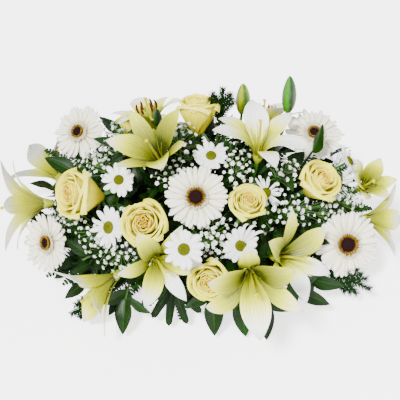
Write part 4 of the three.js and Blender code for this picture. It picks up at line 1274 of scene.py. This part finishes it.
def frond(sheaf, base, d, length, half, pairs, rng):
    """A frond with its rib and its pairs of leaflets."""
    n = outward(base, d)
    across = np.cross(n, d)
    rib = bowed(base, d, n, length, FERN_DROOP, np.linspace(0, 0.98, 9))
    sheaf.rod(rib, np.linspace(1.2, 0.3, 9), 6, STEM)
    q = np.linspace(0, 1, len(LEAFLET_TEETH))
    u = np.array([-1, 0, 1])
    wide = 0.62 * length * 0.93 / pairs * LEAFLET_TEETH * (1 - 0.3 * q)
    for i in range(pairs):
        s = 0.05 + 0.93 * (i + 0.5) / pairs
        reach = half * (1 - s) ** 0.7 * min(1, 0.35 + 4 * s) * rng.uniform(0.92, 1.05)
        foot = bowed(base, d, n, length, FERN_DROOP, s)
        for side in (-1, 1):
            way = unit(across * side + d * 0.32 + n * rng.uniform(-0.12, 0.05))
            line = bowed(foot, way, n, reach, 0.1, q)
            grid = sheet(line, wide, u, np.cross(n, way), 0.15 * wide[:, None] * np.abs(u), n)
            sheaf.blade(grid, 0.5, luck=rng.uniform(), s=q)


fern_green = leaf_finish("fern_green", "040e00", "143c04", "2c5c0c", 0.4, 5.0, 0.3, 45.0)

for name, size, stems, sheaf, corners, rng in greens(FERNS, FERN_LUCK):
    for _, base, d in shoots(sheaf, corners, stems, FERN_BEND):
        if grows(corners, base, d, size, FERN_DROOP):
            frond(sheaf, base, d, size, FERN_WIDTH * size, FERN_PAIRS, rng)
    sheaf.make(name + "_fronds", [fern_green, twig_green], "fern_green", name)


# The fir sprigs: woody twigs with side twigs, set all round with short stiff needles. Each is cut
# from a branch, and fills a gap in the outline of the pillow.
FIRS = {
    "fir_right": (84, (182, -92, 54, 60, -4)),
    "fir_top": (76, (35, 72, 176, 158, 78)),
    "fir_front_left": (66, (-124, -127, 35, -58, -10)),
}
FIR_STEM = 2
FIR_DROOP = 0.1
FIR_NEEDLES = 210
FIR_NEEDLE = 11
FIR_SIDE_TWIGS = 6
FIR_LUCK = 560


def sprig(sheaf, base, d, length, needles, rng, side_twigs=FIR_SIDE_TWIGS):
    """A twig set round with needles that lean forward and shorten to its tip, with side twigs."""
    n = outward(base, d)
    across = np.cross(n, d)
    rib = bowed(base, d, n, length, FIR_DROOP, np.linspace(0, 1, 9))
    sheaf.rod(rib, np.linspace(1.6, 0.4, 9), 6, STEM)
    for i in range(needles):
        s = 0.06 + 0.94 * i / (needles - 1)
        spin = i * GOLDEN
        way = unit(across * math.cos(spin) + n * math.sin(spin) + d * rng.uniform(0.7, 1.0))
        reach = way * (FIR_NEEDLE - 3 * s) * rng.uniform(0.85, 1.1)
        foot = bowed(base, d, n, length, FIR_DROOP, s)
        needle = [foot, foot + reach * 0.5, foot + reach]
        sheaf.rod(needle, [0.55, 0.6, 0.12], 4, luck=rng.uniform())
    for i in range(side_twigs):
        s = 0.22 + 0.46 * i / side_twigs
        fork = bowed(base, d, n, length, FIR_DROOP, s)
        part = 0.56 - 0.4 * s
        way = unit(d + across * (0.5 if i % 2 else -0.5))
        sprig(sheaf, fork, way, part * length, int(part * needles), rng, 0)


needle_green = leaf_finish("needle_green", "041004", "143c10", "1c4814", 0.42, 1.0, 0.0, 50.0)

for name, size, stems, sheaf, corners, rng in greens(FIRS, FIR_LUCK):
    for _, base, d in shoots(sheaf, corners, stems, radius=FIR_STEM):
        sprig(sheaf, base, d, size, FIR_NEEDLES, rng)
    sheaf.make(name + "_sprig", [needle_green, twig_green], "needle_green", name)


# The lobed leaf: one glossy leaf of blunt fingers that spread from its palm, over the front edge. It
# grows on a stalk of its own, and its fan is turned a little about the stalk.
LOBED = {"lobed_leaf": (62, (-32, -134, 60, -8, -46))}
LOBED_FINGERS = 6
LOBED_FAN = math.radians(152)
LOBED_SWING = math.radians(12)
LOBED_PALM = 0.4
LOBED_LUCK = 570


def lobed_leaf(sheaf, base, d, length, rng):
    """The fingers, narrow at the palm, broadest a little further on, and blunt at their ends."""
    n = outward(base, d)
    across = np.cross(n, d)
    s = np.linspace(0, 1, 14)
    u = np.linspace(-1, 1, 5)
    palm = LOBED_PALM * length
    for i in range(LOBED_FINGERS):
        spread = ((i + 0.5) / LOBED_FINGERS - 0.5) * LOBED_FAN
        r = length * (1.04 - 0.36 * abs(spread / LOBED_FAN)) * s
        half = np.where(r < palm, 0.28 * r, 0.112 * length - 0.06 * (r - palm))
        half = half * np.sqrt(np.maximum(1 - later(s, 0.86, 2), 0))
        half[0] = half[-1] = 0
        ahead, aside = math.cos(spread + LOBED_SWING), math.sin(spread + LOBED_SWING)
        lift = -0.0016 * r**2 + 0.6 * np.sin(7 * s + i)
        line = base + np.outer(r, d * ahead + across * aside) + np.outer(lift, n)
        grid = sheet(line, half, u, across * ahead - d * aside, 0.25 * half[:, None] * u * u, n)
        sheaf.blade(grid, 1.0, luck=rng.uniform(), s=s)


for name, size, stems, sheaf, corners, rng in greens(LOBED, LOBED_LUCK):
    for _, base, d in shoots(sheaf, corners, stems):
        lobed_leaf(sheaf, base, d, size, rng)
    sheaf.make(name + "_hand", [leaf_green, twig_green], "leaf_green", name)


# The filling greens: short twigs of small leaves and fern tips, pushed into the foam all round and
# close together, so that no foam shows between the blooms.

# FILL_TWIGS are the twigs on the top, RING_TWIGS those round the foot, and GAP_TIPS the ends of those
# between the blooms at the sides. They reach FILL_REACH out from the pillow's middle, and their feet
# stay inside FILL_FOOT. The rooms are what twigs, leaves and fronds keep to the blooms.
FILL_TWIGS = 190
RING_TWIGS = 76
GAP_TIPS = [
    (-186, -92, 46), (-172, -104, 52), (-160, -114, 48), (-198, -82, 40), (-176, -84, 62),
    (244, -8, 92), (238, 32, 100), (254, 6, 74), (240, -34, 92), (222, 54, 110), (204, 62, 122),
    (-196, 60, 116), (-212, 16, 104), (-214, 66, 132), (-150, 96, 126),
]
FILL_REACH = np.array([226, 140, 128])
FILL_MIDDLE = 46
FILL_FOOT = (150, 56)
FILL_LEAF = 34
FILL_LEAF_WIDTH = 0.23
FILL_FROND = dict(length=66, half=22, pairs=13)
TWIG_ROOM = 2.2
LEAF_ROOM = 2.5
FROND_ROOM = 3
FILL_LUCK = 600


def bloom_tree():
    """The solids of the blooms, ready for asking how near a point is to one."""
    corners, faces = [], []
    for name in (*LILIES, *ROSES, *GERBERAS, *DAISIES, *BUDS):
        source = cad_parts[name]
        first = len(corners)
        corners += [source.matrix_world @ v.co / MM for v in source.data.vertices]
        faces += [[first + i for i in face.vertices] for face in source.data.polygons]
    return BVHTree.FromPolygons(corners, faces)


bloom_solids = bloom_tree()


def is_free(points, room):
    """Whether every point keeps this much room to the blooms."""
    return all(bloom_solids.find_nearest(Vector(p), room)[0] is None for p in points)


def fill_line(tip, sway=(0, 0)):
    """A twig's line from its foot in the foam, out to its tip."""
    foot = np.array([tip[0] * 0.66, tip[1] * 0.42, min(86, 30 + 0.5 * max(tip[2] - 30, 0))])
    foot[:2] = np.clip(foot[:2], np.negative(FILL_FOOT), FILL_FOOT)
    knee = foot + (tip - foot) * 0.55 + np.array([0, 0, 0.08 * np.linalg.norm(tip - foot)])
    return rounded([foot, knee + np.array([sway[0], 0, sway[1]]), tip])


def fill_tips(rng):
    """Where the twigs end: all over the pillow's top, in a close ring round its foot, and in the gaps
    that are left between the side blooms."""
    for k in range(FILL_TWIGS + RING_TWIGS):
        turn = k * GOLDEN
        if k < FILL_TWIGS:
            rise = math.asin(min(1, 0.02 + 0.98 * ((k + 0.5) / FILL_TWIGS) ** 0.8))
            share = rng.uniform(0.8, 1.0)
        else:
            turn = 2 * math.pi * (k + rng.uniform(-0.3, 0.3)) / RING_TWIGS
            rise = math.radians(rng.uniform(-12, 22))
            share = rng.uniform(0.84, 1.03)
        x, y = FILL_REACH[:2] * math.cos(rise) * share * (math.sin(turn), -math.cos(turn))
        yield np.array([x, y, max(16, FILL_MIDDLE + FILL_REACH[2] * math.sin(rise) * share)])
    yield from np.array(GAP_TIPS, float)


def leafy_twig(sheaf, line, ahead, total, rng):
    """Small leaves by turns on both sides of a twig, and one on its end, where there is room."""
    count = max(5, int(total / 11))
    for i in range(count):
        s = 0.25 + 0.75 * (i + 1) / count
        base = line[min(int(s * (len(line) - 1)), len(line) - 1)]
        n = outward(base, ahead)
        side = np.cross(n, ahead) * (1 if i % 2 else -1)
        way = unit(ahead * 0.7 + side * rng.uniform(0.5, 1.1) + n * rng.uniform(-0.1, 0.35))
        if i == count - 1:
            way = ahead
        long = FILL_LEAF * rng.uniform(0.75, 1.2)
        reach = bowed(base, way, outward(base, way), long, LEAF_DROOP, (0.4, 0.7, 1))
        if min(p[2] for p in reach) > 2 and is_free(reach, LEAF_ROOM):
            leaf(sheaf, base, way, long, FILL_LEAF_WIDTH * long, rng, rows=8, columns=5)


def fill(leaves, ferns, rng):
    """Every filling twig, drawn back from its tip until it is clear of the blooms."""
    for k, tip in enumerate(fill_tips(rng)):
        with_frond = k % 4 == 1 or (k > FILL_TWIGS and k % 2)
        sheaf = ferns if with_frond else leaves
        line = fill_line(tip)
        while len(line) > 6 and not is_free(line[len(line) // 3 :], TWIG_ROOM):
            line = line[:-2]
        sheaf.rod(line, np.linspace(1.3, 0.5, len(line)), 5, STEM)
        total = np.linalg.norm(np.diff(line, axis=0), axis=1).sum()
        ahead = unit(line[-1] - line[-4])
        if not with_frond:
            leafy_twig(sheaf, line, ahead, total, rng)
            continue
        base = line[-1] - ahead * 0.45 * total
        if is_free([base + ahead * q for q in (20, 40, 60)], FROND_ROOM):
            frond(sheaf, base, ahead, rng=rng, **FILL_FROND)


filling_leaves, filling_ferns = Sheaf(), Sheaf()
fill(filling_leaves, filling_ferns, np.random.default_rng(FILL_LUCK))
filling_leaves.make("filling_leaves", [leaf_green, twig_green], "leaf_green")
filling_ferns.make("filling_ferns", [fern_green, twig_green], "fern_green")


# The gypsophila: clouds of tiny double white flowers on hair-thin forked stems, tucked in between
# the blooms. Each spray has heads on one forked stem, and then smaller heads on stems of their own.
BABY = {
    "baby_left": (
        [(-146, 8, 186), (-118, 30, 196), (-130, 90, 150)],
        [(-164, 51, 150), (-112, 84, 176), (-138, 10, 172), (-190, 60, 130)],
    ),
    "baby_far_left": ([(-196, -56, 132), (-150, -92, 128)], [(-200, -50, 116), (-172, -40, 140)]),
    "baby_top": ([(-24, 30, 214), (-34, -44, 206), (50, 128, 140)], [(-8, 6, 204), (-26, 60, 204)]),
    "baby_front_left": (
        [(-112, -132, 122), (-90, -90, 154)],
        [(-134, -110, 117), (-119, -102, 136), (-84, -122, 118)],
    ),
    "baby_front": ([(22, -132, 150), (30, -120, 160)], [(2, -118, 150), (36, -100, 160)]),
    "baby_centre_right": (
        [(60, -30, 208), (128, -20, 186)],
        [(78, -52, 186), (148, -8, 174), (104, -84, 162), (56, 6, 202)],
    ),
    "baby_right": (
        [(140, -74, 162), (226, -20, 124)],
        [(176, -54, 142), (226, 72, 128), (252, -8, 104), (206, -44, 122), (238, 44, 118)],
    ),
}
BABY_BEND = 12
BABY_STEM = 1.2
BABY_NECK = 26
BABY_SPREAD = 27
BABY_FLORETS = 24
MORE_FLORETS = 16
HAIR = 0.34
FLORET_ROOM = 3.4
FLORET_NECK = 2.4
FLORET_CUP = [(0.4, -FLORET_NECK), (0.9, -1.6), (1.15, 0.1), (0.7, 0.8)]
# A floret has two layers of five petals and one petal in its heart. From the lowest, this is how far
# they reach, how far they rise, and how wide they are.
FLORET_LAYERS = ((3.3, 0.4, 1.0), (2.6, 1.3, 0.85), (1.4, 2.2, 0.6))
FLORET_PETALS = 11
FLORET_LUCK = 700
BABY_LUCK = 710


def floret_shape():
    """One double flower: frilled petals round a heart, over a green cup, facing +Z."""
    shape = Sheaf()
    rng = np.random.default_rng(FLORET_LUCK)
    s = np.linspace(0, 1, 4)
    frill = np.array([[0, 0, 0], [0.1, 0, 0.1], [0.25, -0.1, 0.2], [0.5, -0.2, 0.4]])
    for i in range(FLORET_PETALS):
        reach, rise, wide = FLORET_LAYERS[i // 5]
        a = 2 * math.pi * i / 5 + 0.6 * (i // 5)
        half = np.array([0.35, 1.15, 1.3, 0.75]) * wide
        grid = petal_grid(a, np.linspace(-1, 1, 3), 0.2 + reach * s, rise * s**0.7 + 0.3, half, frill)
        shape.blade(grid, 0.35, luck=rng.uniform())
    shape.turned(FLORET_CUP, 6, STEM, 0.8)
    return shape


def clear_line(tip):
    """The line from the foam to a tip that keeps furthest from the blooms."""
    lines = [fill_line(tip, sway) for sway in SWAYS]
    return max(lines, key=lambda line: min(bloom_solids.find_nearest(Vector(p))[3] for p in line[6:]))


def cloud(sheaf, at, neck, florets, phase, rng):
    """A head of florets round a point, each on its own hair stem from the neck."""
    n = outward(at)
    side = unit(np.cross((0, 0, 1), n))
    other = np.cross(n, side)
    for i in range(florets):
        r = BABY_SPREAD * math.sqrt((i + 0.5) / florets)
        a = i * GOLDEN + phase
        head = at + side * r * math.cos(a) + other * r * math.sin(a)
        head = head + n * (rng.uniform(-9, 6) - 0.012 * r * r)
        if not is_free([head], FLORET_ROOM):
            continue
        way = unit(unit(head - neck) + n * 0.3 + rng.uniform(-0.35, 0.35, 3))
        foot = head - way * FLORET_NECK
        knee = neck + (foot - neck) * 0.45 + n * 1.5
        sheaf.rod(rounded([neck, knee, foot], 1), HAIR, 3, STEM, 0.7)
        x = unit(np.cross((0.3, 1, 0.2), way))
        y = np.cross(way, x)
        spin = rng.uniform(0, 6)
        c, s = math.cos(spin), math.sin(spin)
        turn = np.stack([x * c + y * s, y * c - x * s, way], 1) * rng.uniform(0.62, 1.06)
        sheaf.copy_in(floret, turn, head, rng.uniform())


floret = floret_shape()
gypsophila_white = petal_finish(
    "gypsophila_white",
    [(0.0, "dfe6cf"), (0.4, "f6f7f2"), (1.0, "fbfbfa")],
    rib_count=1.0, rib_depth=0.0001, roughness=0.55,
)
hair_green = green_finish("hair_green", "2c5f1c", "6f9f4a")

for number, (name, plan) in enumerate(BABY.items()):
    sheaf = Sheaf()
    rng = np.random.default_rng(BABY_LUCK + number)
    heads, more_heads = (np.array(points, float) for points in plan)
    ends = [(at - outward(at) * BABY_NECK, outward(at)) for at in heads]
    for k, (at, line) in enumerate(zip(heads, forked(cad_points(name), ends, BABY_BEND))):
        sheaf.rod(rounded(line), BABY_STEM, 6, STEM, 0.4)
        cloud(sheaf, at, line[0] + (line[1] - line[0]) * 0.08, BABY_FLORETS, k, rng)
    for k, at in enumerate(more_heads):
        line = clear_line(at - outward(at) * BABY_NECK * 0.8)
        sheaf.rod(line, np.linspace(1.0, 0.6, len(line)), 6, STEM, 0.4)
        cloud(sheaf, at, line[-2], MORE_FLORETS, k, rng)
    sheaf.make(name + "_cloud", [gypsophila_white, hair_green], "gypsophila_white", name)
